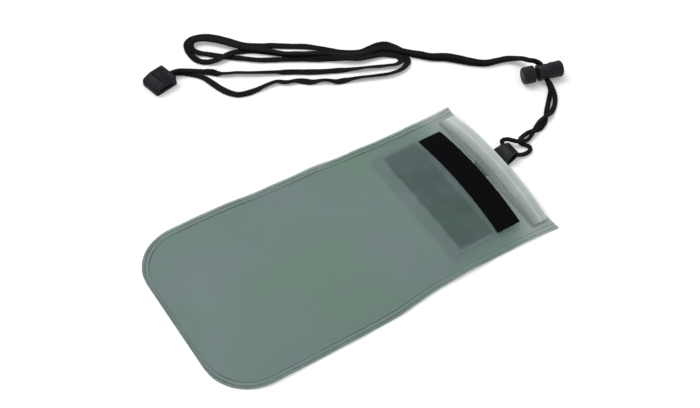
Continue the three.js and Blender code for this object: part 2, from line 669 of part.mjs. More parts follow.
const clip = new THREE.Group();
clip.position.set(CLIP_PLACE[0], CLIP_PLACE[1], 0);
clip.rotation.z = CLIP_TURN;
clip.add(
  part('clip_base', clipBase, greyPlastic),
  part('clip_cover', clipCover, greyPlastic.clone()),
);

const assembly = new THREE.Group();
assembly.add(
  pouch, lock, clip,
  part('lanyard_a', cord(STRAND_A), braid),
  part('lanyard_b', cord(STRAND_B), braid.clone()),
);

export default assembly;
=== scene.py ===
"""A waterproof phone pouch of smoked soft film, with its neck cord, cord lock and end clip.

Sizes are in millimetres until a mesh is placed. Pouch pieces count Y from the bottom edge.
"""

import logging
import math
from dataclasses import dataclass, field
from enum import Enum
from typing import Any, Callable, Iterable, Optional, Sequence

import bmesh
import bpy
import numpy as np
from mathutils import Matrix, Vector, noise


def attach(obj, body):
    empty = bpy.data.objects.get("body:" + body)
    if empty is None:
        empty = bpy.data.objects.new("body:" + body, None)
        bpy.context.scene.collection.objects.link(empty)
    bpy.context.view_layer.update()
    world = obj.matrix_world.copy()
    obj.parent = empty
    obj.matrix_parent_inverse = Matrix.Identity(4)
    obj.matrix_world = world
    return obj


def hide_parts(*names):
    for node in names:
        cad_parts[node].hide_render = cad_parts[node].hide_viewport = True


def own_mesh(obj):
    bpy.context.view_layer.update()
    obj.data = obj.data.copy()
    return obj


LOG = logging.getLogger("waterproof_pouch")
MM = 0.001
POUCH_START = -107.0
Colour = tuple[float, float, float]
Point = tuple[float, float, float]


class Body(Enum):
    """The bodies that pieces ride on."""

    POUCH = "pouch"
    PLUNGER = "plunger"


def smooth_step(low: float, high: float, value: float) -> float:
    """Rises smoothly from 0 at low to 1 at high."""
    part = min(1.0, max(0.0, (value - low) / (high - low)))
    return part * part * (3 - 2 * part)


def shade(colour: Colour, part: float) -> Colour:
    """Makes a colour darker or lighter."""
    return tuple(channel * part for channel in colour)


def mix(first: float, second: float, part: float) -> float:
    """Goes from first to second as part goes from 0 to 1."""
    return first + (second - first) * part


def ease(start: Any, rise: Any, end: Any, fall: Any, part: float) -> Any:
    """Goes smoothly between two numbers or points.

    Args:
        start: The first of them.
        rise: The slope there.
        end: The second.
        fall: The slope there.
        part: How far along, from 0 to 1.

    Returns:
        The number or point.
    """
    square, cube = part**2, part**3
    return (
        (2 * cube - 3 * square + 1) * start
        + (cube - 2 * square + part) * rise
        + (3 * square - 2 * cube) * end
        + (cube - square) * fall
    )


def curve_through(table: Sequence[tuple[float, float]], value: float) -> float:
    """Reads a smooth curve through a short table of chosen places.

    Args:
        table: Pairs of place and height, in rising order of place.
        value: The place to read.

    Returns:
        The height there.
    """
    if value <= table[0][0]:
        return table[0][1]
    if value >= table[-1][0]:
        return table[-1][1]
    last = len(table) - 1
    i = max(k for k in range(last) if table[k][0] <= value)
    (x0, y0), (x1, y1) = table[i], table[i + 1]
    before, after = table[max(i - 1, 0)], table[min(i + 2, last)]
    slope0 = (y1 - before[1]) / max(x1 - before[0], 1e-6)
    slope1 = (after[1] - y0) / max(after[0] - x0, 1e-6)
    span = x1 - x0
    return ease(y0, span * slope0, y1, span * slope1, (value - x0) / span)


class Nodes:
    """Adds nodes to one tree and joins them."""

    def __init__(self, tree: bpy.types.NodeTree) -> None:
        """Keeps the tree and starts its column of nodes."""
        self.tree = tree
        self.count = 0

    def add(self, kind: str, inputs: Optional[dict[Any, Any]] = None, **settings: Any) -> bpy.types.Node:
        """Adds a node.

        Args:
            kind: The node's type.
            inputs: Values or sockets for its inputs, by name or number.
            settings: The node's own settings.

        Returns:
            The new node.
        """
        node = self.tree.nodes.new(kind)
        node.location = (180 * (self.count % 9), -220 * (self.count // 9))
        self.count += 1
        for name, value in settings.items():
            setattr(node, name, value)
        for name, value in (inputs or {}).items():
            self.feed(node.inputs[name], value)
        return node

    def feed(self, socket: bpy.types.NodeSocket, value: Any) -> None:
        """Sets a socket to a value, or joins another socket to it."""
        if isinstance(value, bpy.types.NodeSocket):
            self.tree.links.new(value, socket)
        elif isinstance(value, tuple) and len(value) == 3 and socket.type == "RGBA":
            socket.default_value = (*value, 1.0)
        else:
            socket.default_value = value

    def sum(self, operation: str, first: Any, second: Any = 0.0, third: Any = 0.0) -> bpy.types.NodeSocket:
        """Adds a math node for up to three numbers or sockets, and gives its result."""
        return self.add("ShaderNodeMath", {0: first, 1: second, 2: third}, operation=operation).outputs[0]

    def noise(self, place: Any, scale: Any, detail: float = 2.0, twist: float = 0.0) -> bpy.types.NodeSocket:
        """Adds a noise of a scale, with a number of finer layers and a twist."""
        inputs = {"Vector": place, "Scale": scale, "Detail": detail, "Distortion": twist}
        return self.add("ShaderNodeTexNoise", inputs).outputs[0]

    def blend(self, part: Any, first: Any, second: Any) -> bpy.types.NodeSocket:
        """Mixes two colours, by how much of the second one shows."""
        node = self.add("ShaderNodeMix", {0: part, 6: first, 7: second}, data_type="RGBA")
        return node.outputs[2]

    def ramp(
        self, value: Any, low: float, high: float, start: float = 0.0, end: float = 1.0
    ) -> bpy.types.NodeSocket:
        """Turns the range from low to high smoothly into the one from start to end."""
        inputs = {0: value, 1: low, 2: high, 3: start, 4: end}
        return self.add("ShaderNodeMapRange", inputs, interpolation_type="SMOOTHSTEP").outputs[0]


class SharedEffects:
    """Node groups that several finishes use, each built once."""

    groups: dict[str, bpy.types.NodeTree] = {}

    @classmethod
    def group(
        cls,
        name: str,
        inputs: dict[str, Any],
        outputs: Sequence[str],
        fill: Callable[[Nodes, Any, Any], None],
    ) -> bpy.types.NodeTree:
        """Builds a node group, or finds it.

        Args:
            name: The group's name.
            inputs: Each input's name and its usual value.
            outputs: The outputs' names.
            fill: Adds the nodes between the group's input and output nodes.

        Returns:
            The group.
        """
        if name in cls.groups:
            return cls.groups[name]
        tree = bpy.data.node_groups.new(name, "ShaderNodeTree")
        for key, value in inputs.items():
            kind = "NodeSocketVector" if value is None else "NodeSocketFloat"
            socket = tree.interface.new_socket(key, in_out="INPUT", socket_type=kind)
            if value is not None:
                socket.default_value = value
        for key in outputs:
            tree.interface.new_socket(key, in_out="OUTPUT", socket_type="NodeSocketFloat")
        nodes = Nodes(tree)
        fill(nodes, nodes.add("NodeGroupInput"), nodes.add("NodeGroupOutput"))
        cls.groups[name] = tree
        return tree

    @classmethod
    def mottle(cls) -> bpy.types.NodeTree:
        """Soft cloudy change over a surface."""

        def fill(nodes: Nodes, source: Any, result: Any) -> None:
            """Two sizes of noise, added."""
            wide = nodes.noise(source.outputs[0], source.outputs[1])
            small = nodes.noise(source.outputs[0], nodes.sum("MULTIPLY", source.outputs[1], 4.3), 3.0)
            both = nodes.sum("MULTIPLY_ADD", small, 0.35, nodes.sum("MULTIPLY", wide, 0.65))
            nodes.feed(result.inputs[0], nodes.ramp(both, 0.36, 0.64))

        return cls.group("cloudy_change", {"Vector": None, "Scale": 20.0}, ["Value"], fill)

    @classmethod
    def grain(cls) -> bpy.types.NodeTree:
        """Fine spark-eroded grain of moulded plastic, with a few scuffs."""

        def fill(nodes: Nodes, source: Any, result: Any) -> None:
            """Fine noise for height, and stretched noise for scuffs."""
            fine = nodes.noise(source.outputs[0], source.outputs[1], 4.0)
            turned = nodes.add(
                "ShaderNodeMapping",
                {"Vector": source.outputs[0], "Rotation": (0.4, 0.7, 0.6), "Scale": (1.0, 0.06, 1.0)},
            )
            scuff = nodes.noise(turned.outputs[0], source.outputs[1])
            nodes.feed(result.inputs[0], fine)
            nodes.feed(result.inputs[1], nodes.ramp(scuff, 0.62, 0.72))

        return cls.group("moulded_grain", {"Vector": None, "Scale": 2600.0}, ["Height", "Scuffs"], fill)

    @classmethod
    def edge_highlight(cls) -> bpy.types.NodeTree:
        """Marks the sharp outer edges of a piece, in patches, for a painted highlight."""

        def fill(nodes: Nodes, source: Any, result: Any) -> None:
            """Reads how sharp the surface is."""
            sharp = nodes.add("ShaderNodeNewGeometry").outputs["Pointiness"]
            edge = nodes.ramp(sharp, 0.51, 0.58)
            patchy = nodes.noise(source.outputs[0], source.outputs[1])
            nodes.feed(result.inputs[0], nodes.sum("MULTIPLY", edge, nodes.ramp(patchy, 0.3, 0.6)))

        return cls.group("edge_highlight", {"Vector": None, "Scale": 700.0}, ["Edge"], fill)

    @classmethod
    def soft_box(cls) -> bpy.types.NodeTree:
        """A box in the plan with soft uneven edges, from places and sizes in millimetres."""

        def fill(nodes: Nodes, source: Any, result: Any) -> None:
            """Measures how far a place is outside the box."""
            split = nodes.add("ShaderNodeSeparateXYZ", {0: source.outputs[0]})
            uneven = nodes.noise(source.outputs[0], 170.0, 3.0)
            outs = []
            for axis in (0, 1):
                place = nodes.sum("MULTIPLY", split.outputs[axis], 1000.0)
                away = nodes.sum("ABSOLUTE", nodes.sum("SUBTRACT", place, source.outputs[1 + axis]))
                outs.append(nodes.sum("MAXIMUM", nodes.sum("SUBTRACT", away, source.outputs[3 + axis]), 0.0))
            squares = [nodes.sum("MULTIPLY", out, out) for out in outs]
            away = nodes.sum("SQRT", nodes.sum("ADD", *squares))
            away = nodes.sum("MULTIPLY", away, nodes.sum("MULTIPLY_ADD", uneven, 1.6, 0.2))
            share = nodes.sum("DIVIDE", away, source.outputs[5])
            nodes.feed(result.inputs[0], nodes.sum("SUBTRACT", 1.0, share))

        inputs = {"Vector": None, "Middle X": 0.0, "Middle Y": 0.0, "Half X": 1.0, "Half Y": 1.0}
        return cls.group("soft_box", {**inputs, "Softness": 1.0}, ["Inside"], fill)

    @classmethod
    def weld_lines(cls) -> bpy.types.NodeTree:
        """Two pressed lines and the pale band between them, from the distance to the film's edge."""

        def line(nodes: Nodes, distance: Any, middle: float, width: float) -> bpy.types.NodeSocket:
            """One line at a distance from the edge."""
            away = nodes.sum("ABSOLUTE", nodes.sum("SUBTRACT", distance, middle))
            return nodes.ramp(away, width * 0.35, width, 1.0, 0.0)

        def fill(nodes: Nodes, source: Any, result: Any) -> None:
            """Adds the lines to one mask and one height."""
            distance = source.outputs[0]
            outer = line(nodes, distance, 1.6, 0.3)
            inner = line(nodes, distance, 3.9, 0.34)
            rim = nodes.ramp(distance, 0.1, 0.4, 1.0, 0.0)
            lines = nodes.sum("MAXIMUM", nodes.sum("MAXIMUM", outer, inner), nodes.sum("MULTIPLY", rim, 0.5))
            band = line(nodes, distance, 2.75, 1.1)
            nodes.feed(result.inputs[0], lines)
            nodes.feed(result.inputs[1], band)
            nodes.feed(result.inputs[2], nodes.sum("SUBTRACT", nodes.sum("MULTIPLY", band, 0.5), lines))

        return cls.group("weld_lines", {"Distance": 50.0}, ["Lines", "Band", "Height"], fill)

    @classmethod
    def plait(cls) -> bpy.types.NodeTree:
        """Crossing yarns, from the distance along and across a braid or tape."""

        def fill(nodes: Nodes, source: Any, result: Any) -> None:
            """Two slanting rows of yarns that pass over each other in turn."""
            along = nodes.sum("DIVIDE", source.outputs[0], source.outputs[2])
            across = nodes.sum("MULTIPLY", source.outputs[1], source.outputs[3])
            first = nodes.sum("ADD", along, across)
            second = nodes.sum("SUBTRACT", along, across)
            ridge_a, ridge_b = (
                nodes.sum("ABSOLUTE", nodes.sum("SINE", nodes.sum("MULTIPLY", row, math.pi)))
                for row in (first, second)
            )
            steps = nodes.sum("ADD", nodes.sum("FLOOR", first), nodes.sum("FLOOR", second))
            turn = nodes.sum("ABSOLUTE", nodes.sum("MODULO", steps, 2.0))
            upper = nodes.sum("MULTIPLY", ridge_a, turn)
            lower = nodes.sum("MULTIPLY", ridge_b, nodes.sum("SUBTRACT", 1.0, turn))
            height = nodes.sum("ADD", upper, lower)
            nodes.feed(result.inputs[0], height)
            nodes.feed(result.inputs[1], nodes.ramp(height, 0.15, 0.45, 1.0, 0.0))

        inputs = {"Along": 0.0, "Across": 0.0, "Pitch": 1.6, "Yarns": 6.0}
        return cls.group("plaited_yarns", inputs, ["Height", "Gaps"], fill)


class Finish:
    """A material with its shader and its object coordinates, ready for a finish to fill."""

    def __init__(self, name: str) -> None:
        """Makes the material with a bare shader."""
        self.material = bpy.data.materials.new(name)
        self.material.use_nodes = True
        self.nodes = Nodes(self.material.node_tree)
        self.shader = self.material.node_tree.nodes["Principled BSDF"]
        self.place = self.nodes.add("ShaderNodeTexCoord").outputs["Object"]

    def set(self, **values: Any) -> None:
        """Sets or joins the shader's inputs, with underscores for spaces in their names."""
        for name, value in values.items():
            self.nodes.feed(self.shader.inputs[name.replace("_", " ")], value)

    def effect(self, group: bpy.types.NodeTree, **values: Any) -> bpy.types.Node:
        """Places a shared effect.

        Args:
            group: The effect's node group.
            values: Its inputs.

        Returns:
            The group's node.
        """
        node = self.nodes.add("ShaderNodeGroup", node_tree=group)
        for name, value in values.items():
            self.nodes.feed(node.inputs[name.replace("_", " ")], value)
        return node

    def cloud(self, scale: float) -> bpy.types.NodeSocket:
        """Soft cloudy change over the piece."""
        return self.effect(SharedEffects.mottle(), Vector=self.place, Scale=scale).outputs[0]

    def edge_highlight_mask(self, scale: float) -> bpy.types.NodeSocket:
        """Where the piece's sharp edges get a painted highlight."""
        return self.effect(SharedEffects.edge_highlight(), Vector=self.place, Scale=scale).outputs[0]

    def millimetres(self, axis: int) -> bpy.types.NodeSocket:
        """The place along one axis of the shared frame, in millimetres."""
        split = self.nodes.add("ShaderNodeSeparateXYZ", {0: self.place})
        return self.nodes.sum("MULTIPLY", split.outputs[axis], 1000.0)

    def map_part(self, name: str, axis: int) -> bpy.types.NodeSocket:
        """One direction of the piece's own map."""
        spot = self.nodes.add("ShaderNodeUVMap", uv_map=name).outputs[0]
        return self.nodes.add("ShaderNodeSeparateXYZ", {0: spot}).outputs[axis]

    def bump(self, height: Any, depth: float) -> None:
        """Raises the surface by depth metres where the height is 1."""
        node = self.nodes.add("ShaderNodeBump", {"Height": height, "Distance": depth, "Strength": 1.0})
        self.nodes.feed(self.shader.inputs["Normal"], node.outputs[0])

    def seam_distance(self) -> bpy.types.NodeSocket:
        """The distance to the film's edge in millimetres, from the piece's own map."""
        return self.nodes.sum("MULTIPLY", self.map_part("Seam", 0), 100.0)


@dataclass(frozen=True)
class FilmFinish:
    """Smoked, slightly milky soft film. A patch that lies against it shows through as a dark soft box."""

    name: str
    cool: Colour
    warm: Colour
    alpha: float
    patch_seen: bool = False
    weld: Colour = (0.045, 0.1, 0.078)
    weld_alpha: float = 0.2
    roughness: float = 0.5
    mouth_fade: tuple[float, float] = (62.0, 84.0)
    mouth_share: float = 0.62
    band: Colour = (0.3, 0.42, 0.36)
    cover: Colour = (0.24, 0.31, 0.285)
    patch: Colour = (0.009, 0.0095, 0.018)
    pile_box: tuple[float, float, float, float] = (51.8, 35.8, 9.2, 4.0)
    backing_box: tuple[float, float, float, float] = (48.6, 38.4, 13.2, 2.4)

    def build(self) -> bpy.types.Material:
        """Makes the material with its clouds, weld lines and faint ripples."""
        finish = Finish(self.name)
        nodes = finish.nodes
        edge = finish.seam_distance()
        weld = finish.effect(SharedEffects.weld_lines(), Distance=edge)
        patchy = nodes.ramp(nodes.noise(finish.place, 55.0), 0.32, 0.62, 0.45, 1.0)
        lines = nodes.sum("MULTIPLY", weld.outputs[0], patchy)
        base = nodes.blend(finish.cloud(16.0), self.cool, self.warm)
        base = nodes.blend(nodes.sum("MULTIPLY", weld.outputs[1], 0.1), base, self.band)
        base = nodes.blend(lines, base, self.weld)
        alpha = nodes.sum("MULTIPLY_ADD", lines, self.weld_alpha, self.alpha)
        near_mouth = nodes.ramp(finish.millimetres(1), *self.mouth_fade, 1.0, self.mouth_share)
        alpha = nodes.sum("MULTIPLY", alpha, near_mouth)
        alpha = nodes.sum("MULTIPLY", alpha, nodes.ramp(edge, 4.2, 5.6, 0.93, 1.0))
        if self.patch_seen:
            dark = self.patch_mask(finish)
            base = nodes.blend(nodes.ramp(dark, 0.0, 0.2), base, self.cover)
            base = nodes.blend(dark, base, self.patch)
            alpha = nodes.sum("MAXIMUM", alpha, nodes.ramp(dark, 0.0, 0.2, 0.0, 0.985))
        height = nodes.sum("MULTIPLY_ADD", weld.outputs[2], 0.8, nodes.noise(finish.place, 90.0, 3.0))
        haze = nodes.noise(finish.place, 60.0, 4.0)
        rough = nodes.ramp(haze, 0.3, 0.7, self.roughness - 0.06, self.roughness + 0.08)
        finish.set(Base_Color=base, Roughness=rough, Alpha=alpha, IOR=1.5, Specular_IOR_Level=0.3)
        finish.bump(height, 0.00018)
        return finish.material

    def patch_mask(self, finish: Finish) -> bpy.types.NodeSocket:
        """Where the loop patch lies against the film, which is darkest where its pile is.

        Each box is the middle of the pile or the backing over the frame's origin, half its length,
        half its width and how softly it ends, in millimetres.

        Args:
            finish: The film's material.

        Returns:
            How dark the patch makes the film.
        """
        nodes = finish.nodes
        masks = []
        for middle, half_x, half_y, soft in (self.pile_box, self.backing_box):
            sizes = {"Middle_Y": middle, "Half_X": half_x, "Half_Y": half_y, "Softness": soft}
            box = finish.effect(SharedEffects.soft_box(), Vector=finish.place, **sizes)
            masks.append(nodes.ramp(box.outputs[0], 0.0, 1.0))
        dark = nodes.sum("MAXIMUM", masks[0], nodes.sum("MULTIPLY", masks[1], 0.34))
        return nodes.sum("MULTIPLY", dark, nodes.ramp(finish.cloud(42.0), 0.0, 1.0, 1.0, 0.84))


@dataclass(frozen=True)
class MilkyFinish:
    """Milky soft plastic of the press seal, thinner towards the pouch, with a painted highlight along its
    ridges and painted paler towards its far end.
    """

    name: str
    colour: Colour
    pale: Colour
    alpha: float
    start: float = 83.0
    ridges: Sequence[tuple[float, float]] = ((5.2, 0.8), (8.3, 0.6))

    def build(self) -> bpy.types.Material:
        """Makes the material with drawn lines along the strip, a painted highlight on its ridges and a paler
        far end.
        """
        finish = Finish(self.name)
        nodes = finish.nodes
        drawn = nodes.add("ShaderNodeMapping", {"Vector": finish.place, "Scale": (0.04, 1.0, 1.0)})
        lines = nodes.noise(drawn.outputs[0], 1500.0)
        across = nodes.sum("SUBTRACT", finish.millimetres(1), self.start)
        ridge = 0.0
        for middle, width in self.ridges:
            away = nodes.sum("ABSOLUTE", nodes.sum("SUBTRACT", across, middle))
            ridge = nodes.sum("MAXIMUM", ridge, nodes.ramp(away, 0.1, width, 1.0, 0.0))
        # Painted highlight: the ridges are painted pale and near opaque, and the strip is painted paler
        # towards its far end.
        far_end = nodes.ramp(finish.millimetres(0), -46.0, -16.0, 1.0, 0.0)
        light = nodes.sum("MULTIPLY_ADD", far_end, 0.5, nodes.sum("MULTIPLY", ridge, 0.5))
        base = nodes.blend(finish.cloud(60.0), self.colour, shade(self.colour, 0.86))
        base = nodes.blend(light, base, self.pale)
        rough = nodes.ramp(lines, 0.3, 0.7, 0.4, 0.55)
        alpha = nodes.sum("MULTIPLY", nodes.ramp(across, -0.2, 6.0, 0.15, 1.0), self.alpha)
        alpha = nodes.sum("MAXIMUM", alpha, nodes.sum("MULTIPLY", ridge, 0.9))
        finish.set(Base_Color=base, Roughness=rough, Alpha=alpha, Specular_IOR_Level=0.3)
        finish.bump(lines, 0.00003)
        return finish.material


@dataclass(frozen=True)
class TapeFinish:
    """Black hook or loop tape: a woven ground with nylon on it."""

    name: str
    colour: Colour
    pitch: float
    fuzz: float

    def build(self) -> bpy.types.Material:
        """Makes the material with a woven ground, a fuzzy surface, a painted highlight on the raised fuzz and
        painted shade in the weave's gaps.
        """
        finish = Finish(self.name)
        nodes = finish.nodes
        along, across = finish.millimetres(0), finish.millimetres(1)
        weave = finish.effect(
            SharedEffects.plait(), Along=along, Across=across, Pitch=self.pitch, Yarns=1.0 / self.pitch
        )
        curl = nodes.noise(finish.place, 1400.0, 5.0, 1.2)
        tuft = nodes.add("ShaderNodeTexVoronoi", {"Vector": finish.place, "Scale": 1000.0})
        mixed = nodes.sum("MULTIPLY_ADD", curl, self.fuzz, weave.outputs[0])
        # Painted highlight on the raised fuzz, and painted shade in the gaps between the yarns.
        light = tuple(min(1.0, part * 2.6 + 0.004) for part in self.colour)
        fuzz_highlight = nodes.sum("MULTIPLY", nodes.ramp(curl, 0.52, 0.75), 0.6)
        base = nodes.blend(fuzz_highlight, self.colour, light)
        base = nodes.blend(nodes.sum("MULTIPLY", weave.outputs[1], 0.6), base, (0.002, 0.002, 0.0025))
        finish.set(Base_Color=base, Roughness=0.92, Specular_IOR_Level=0.06)
        finish.bump(nodes.sum("MULTIPLY_ADD", tuft.outputs[0], 0.4, mixed), 0.00016)
        return finish.material


@dataclass(frozen=True)
class VinylFinish:
    """Black soft vinyl of the hanging tab."""

    name: str
    colour: Colour
    # The colour of the painted highlight along the sharp edges.
    scuffs_and_edge_highlight: Colour = (0.1, 0.11, 0.115)

    def build(self) -> bpy.types.Material:
        """Makes the material with a fine leathery grain and a painted highlight along its sharp edges."""
        finish = Finish(self.name)
        nodes = finish.nodes
        grain = nodes.add("ShaderNodeTexVoronoi", {"Vector": finish.place, "Scale": 3600.0})
        cloud = finish.cloud(160.0)
        base = nodes.blend(nodes.sum("MULTIPLY", cloud, 0.6), self.colour, shade(self.colour, 1.5))
        # Painted highlight: the sharp edges are painted paler, in patches.
        base = nodes.blend(nodes.sum("MULTIPLY", finish.edge_highlight_mask(500.0), 0.55), base, self.scuffs_and_edge_highlight)
        rough = nodes.ramp(cloud, 0.0, 1.0, 0.34, 0.46)
        finish.set(Base_Color=base, Roughness=rough, Specular_IOR_Level=0.12)
        finish.bump(grain.outputs[0], 0.000015)
        return finish.material


@dataclass(frozen=True)
class BraidFinish:
    """Black flat braid of the neck cord."""

    name: str
    colour: Colour
    # The colour of the painted highlight on the yarn crests.
    light: Colour
    pitch: float = 1.7
    yarns: float = 6.0

    def build(self) -> bpy.types.Material:
        """Makes the material with plaited yarns, their fibres, a soft sheen, a painted highlight on the yarn
        crests and painted shade in the gaps.
        """
        finish = Finish(self.name)
        nodes = finish.nodes
        along = nodes.sum("MULTIPLY", finish.map_part("Braid", 0), 100.0)
        across = finish.map_part("Braid", 1)
        plait = finish.effect(
            SharedEffects.plait(), Along=along, Across=across, Pitch=self.pitch, Yarns=self.yarns
        )
        # Painted highlight on the yarn crests, in patches, and painted shade in the gaps between the yarns.
        crest_highlight_patches = nodes.sum("ADD", finish.cloud(90.0), 0.35)
        crest_highlight = nodes.sum("MULTIPLY", nodes.ramp(plait.outputs[0], 0.5, 1.0), crest_highlight_patches)
        base = nodes.blend(crest_highlight, self.colour, self.light)
        base = nodes.blend(nodes.sum("MULTIPLY", plait.outputs[1], 0.7), base, (0.002, 0.002, 0.002))
        finish.set(Base_Color=base, Roughness=0.85, Specular_IOR_Level=0.12)
        fibre = nodes.noise(finish.place, 4200.0, 3.0)
        finish.bump(nodes.sum("MULTIPLY_ADD", fibre, 0.3, plait.outputs[0]), 0.00022)
        return finish.material


@dataclass(frozen=True)
class MouldedFinish:
    """Black moulded plastic of the cord lock and the clip."""

    name: str
    colour: Colour
    roughness: float = 0.46
    shine: float = 0.16
    # One paler colour for real scuffs and for the painted highlight on the sharp edges.
    scuffs_and_edge_highlight: Colour = (0.05, 0.05, 0.056)

    def build(self) -> bpy.types.Material:
        """Makes the material with moulded grain, scuffs and a painted highlight along its sharp edges."""
        finish = Finish(self.name)
        nodes = finish.nodes
        grain = finish.effect(SharedEffects.grain(), Vector=finish.place, Scale=2400.0)
        cloud = finish.cloud(220.0)
        base = nodes.blend(nodes.sum("MULTIPLY", cloud, 0.45), self.colour, shade(self.colour, 1.5))
        # Real scuffs, and a painted highlight along the sharp edges.
        scuffs = nodes.sum("MULTIPLY", grain.outputs[1], 0.25)
        marks = nodes.sum("MAXIMUM", scuffs, nodes.sum("MULTIPLY", finish.edge_highlight_mask(700.0), 0.5))
        base = nodes.blend(marks, base, self.scuffs_and_edge_highlight)
        rough = nodes.ramp(cloud, 0.0, 1.0, self.roughness - 0.06, self.roughness + 0.08)
        finish.set(Base_Color=base, Roughness=rough, Specular_IOR_Level=self.shine)
        finish.bump(grain.outputs[0], 0.00002)
        return finish.material


@dataclass(frozen=True)
class WireFinish:
    """Bright drawn spring wire."""

    name: str
    colour: Colour

    def build(self) -> bpy.types.Material:
        """Makes the material with drawing lines and dull spots."""
        finish = Finish(self.name)
        nodes = finish.nodes
        dull = finish.cloud(600.0)
        base = nodes.blend(dull, self.colour, shade(self.colour, 0.6))
        finish.set(Base_Color=base, Metallic=1.0, Roughness=nodes.ramp(dull, 0.0, 1.0, 0.22, 0.4))
        return finish.material


@dataclass(frozen=True)
class FloorFinish:
    """Plain white floor that keeps the object's shadow."""

    name: str
    colour: Colour
    lift: float

    def build(self) -> bpy.types.Material:
        """Makes the material, which is lifted to white for the camera alone."""
        finish = Finish(self.name)
        nodes = finish.nodes
        light = nodes.add("ShaderNodeLightPath")
        seen = nodes.sum("MAXIMUM", light.outputs["Is Camera Ray"], light.outputs["Is Glossy Ray"])
        seen = nodes.sum("MAXIMUM", seen, light.outputs["Is Transmission Ray"])
        glow = nodes.sum("MULTIPLY", seen, self.lift)
        finish.set(Base_Color=self.colour, Roughness=0.9, Specular_IOR_Level=0.0)
        finish.set(Emission_Color=(1.0, 1.0, 1.0))
        nodes.feed(finish.shader.inputs["Emission Strength"], glow)
        return finish.material


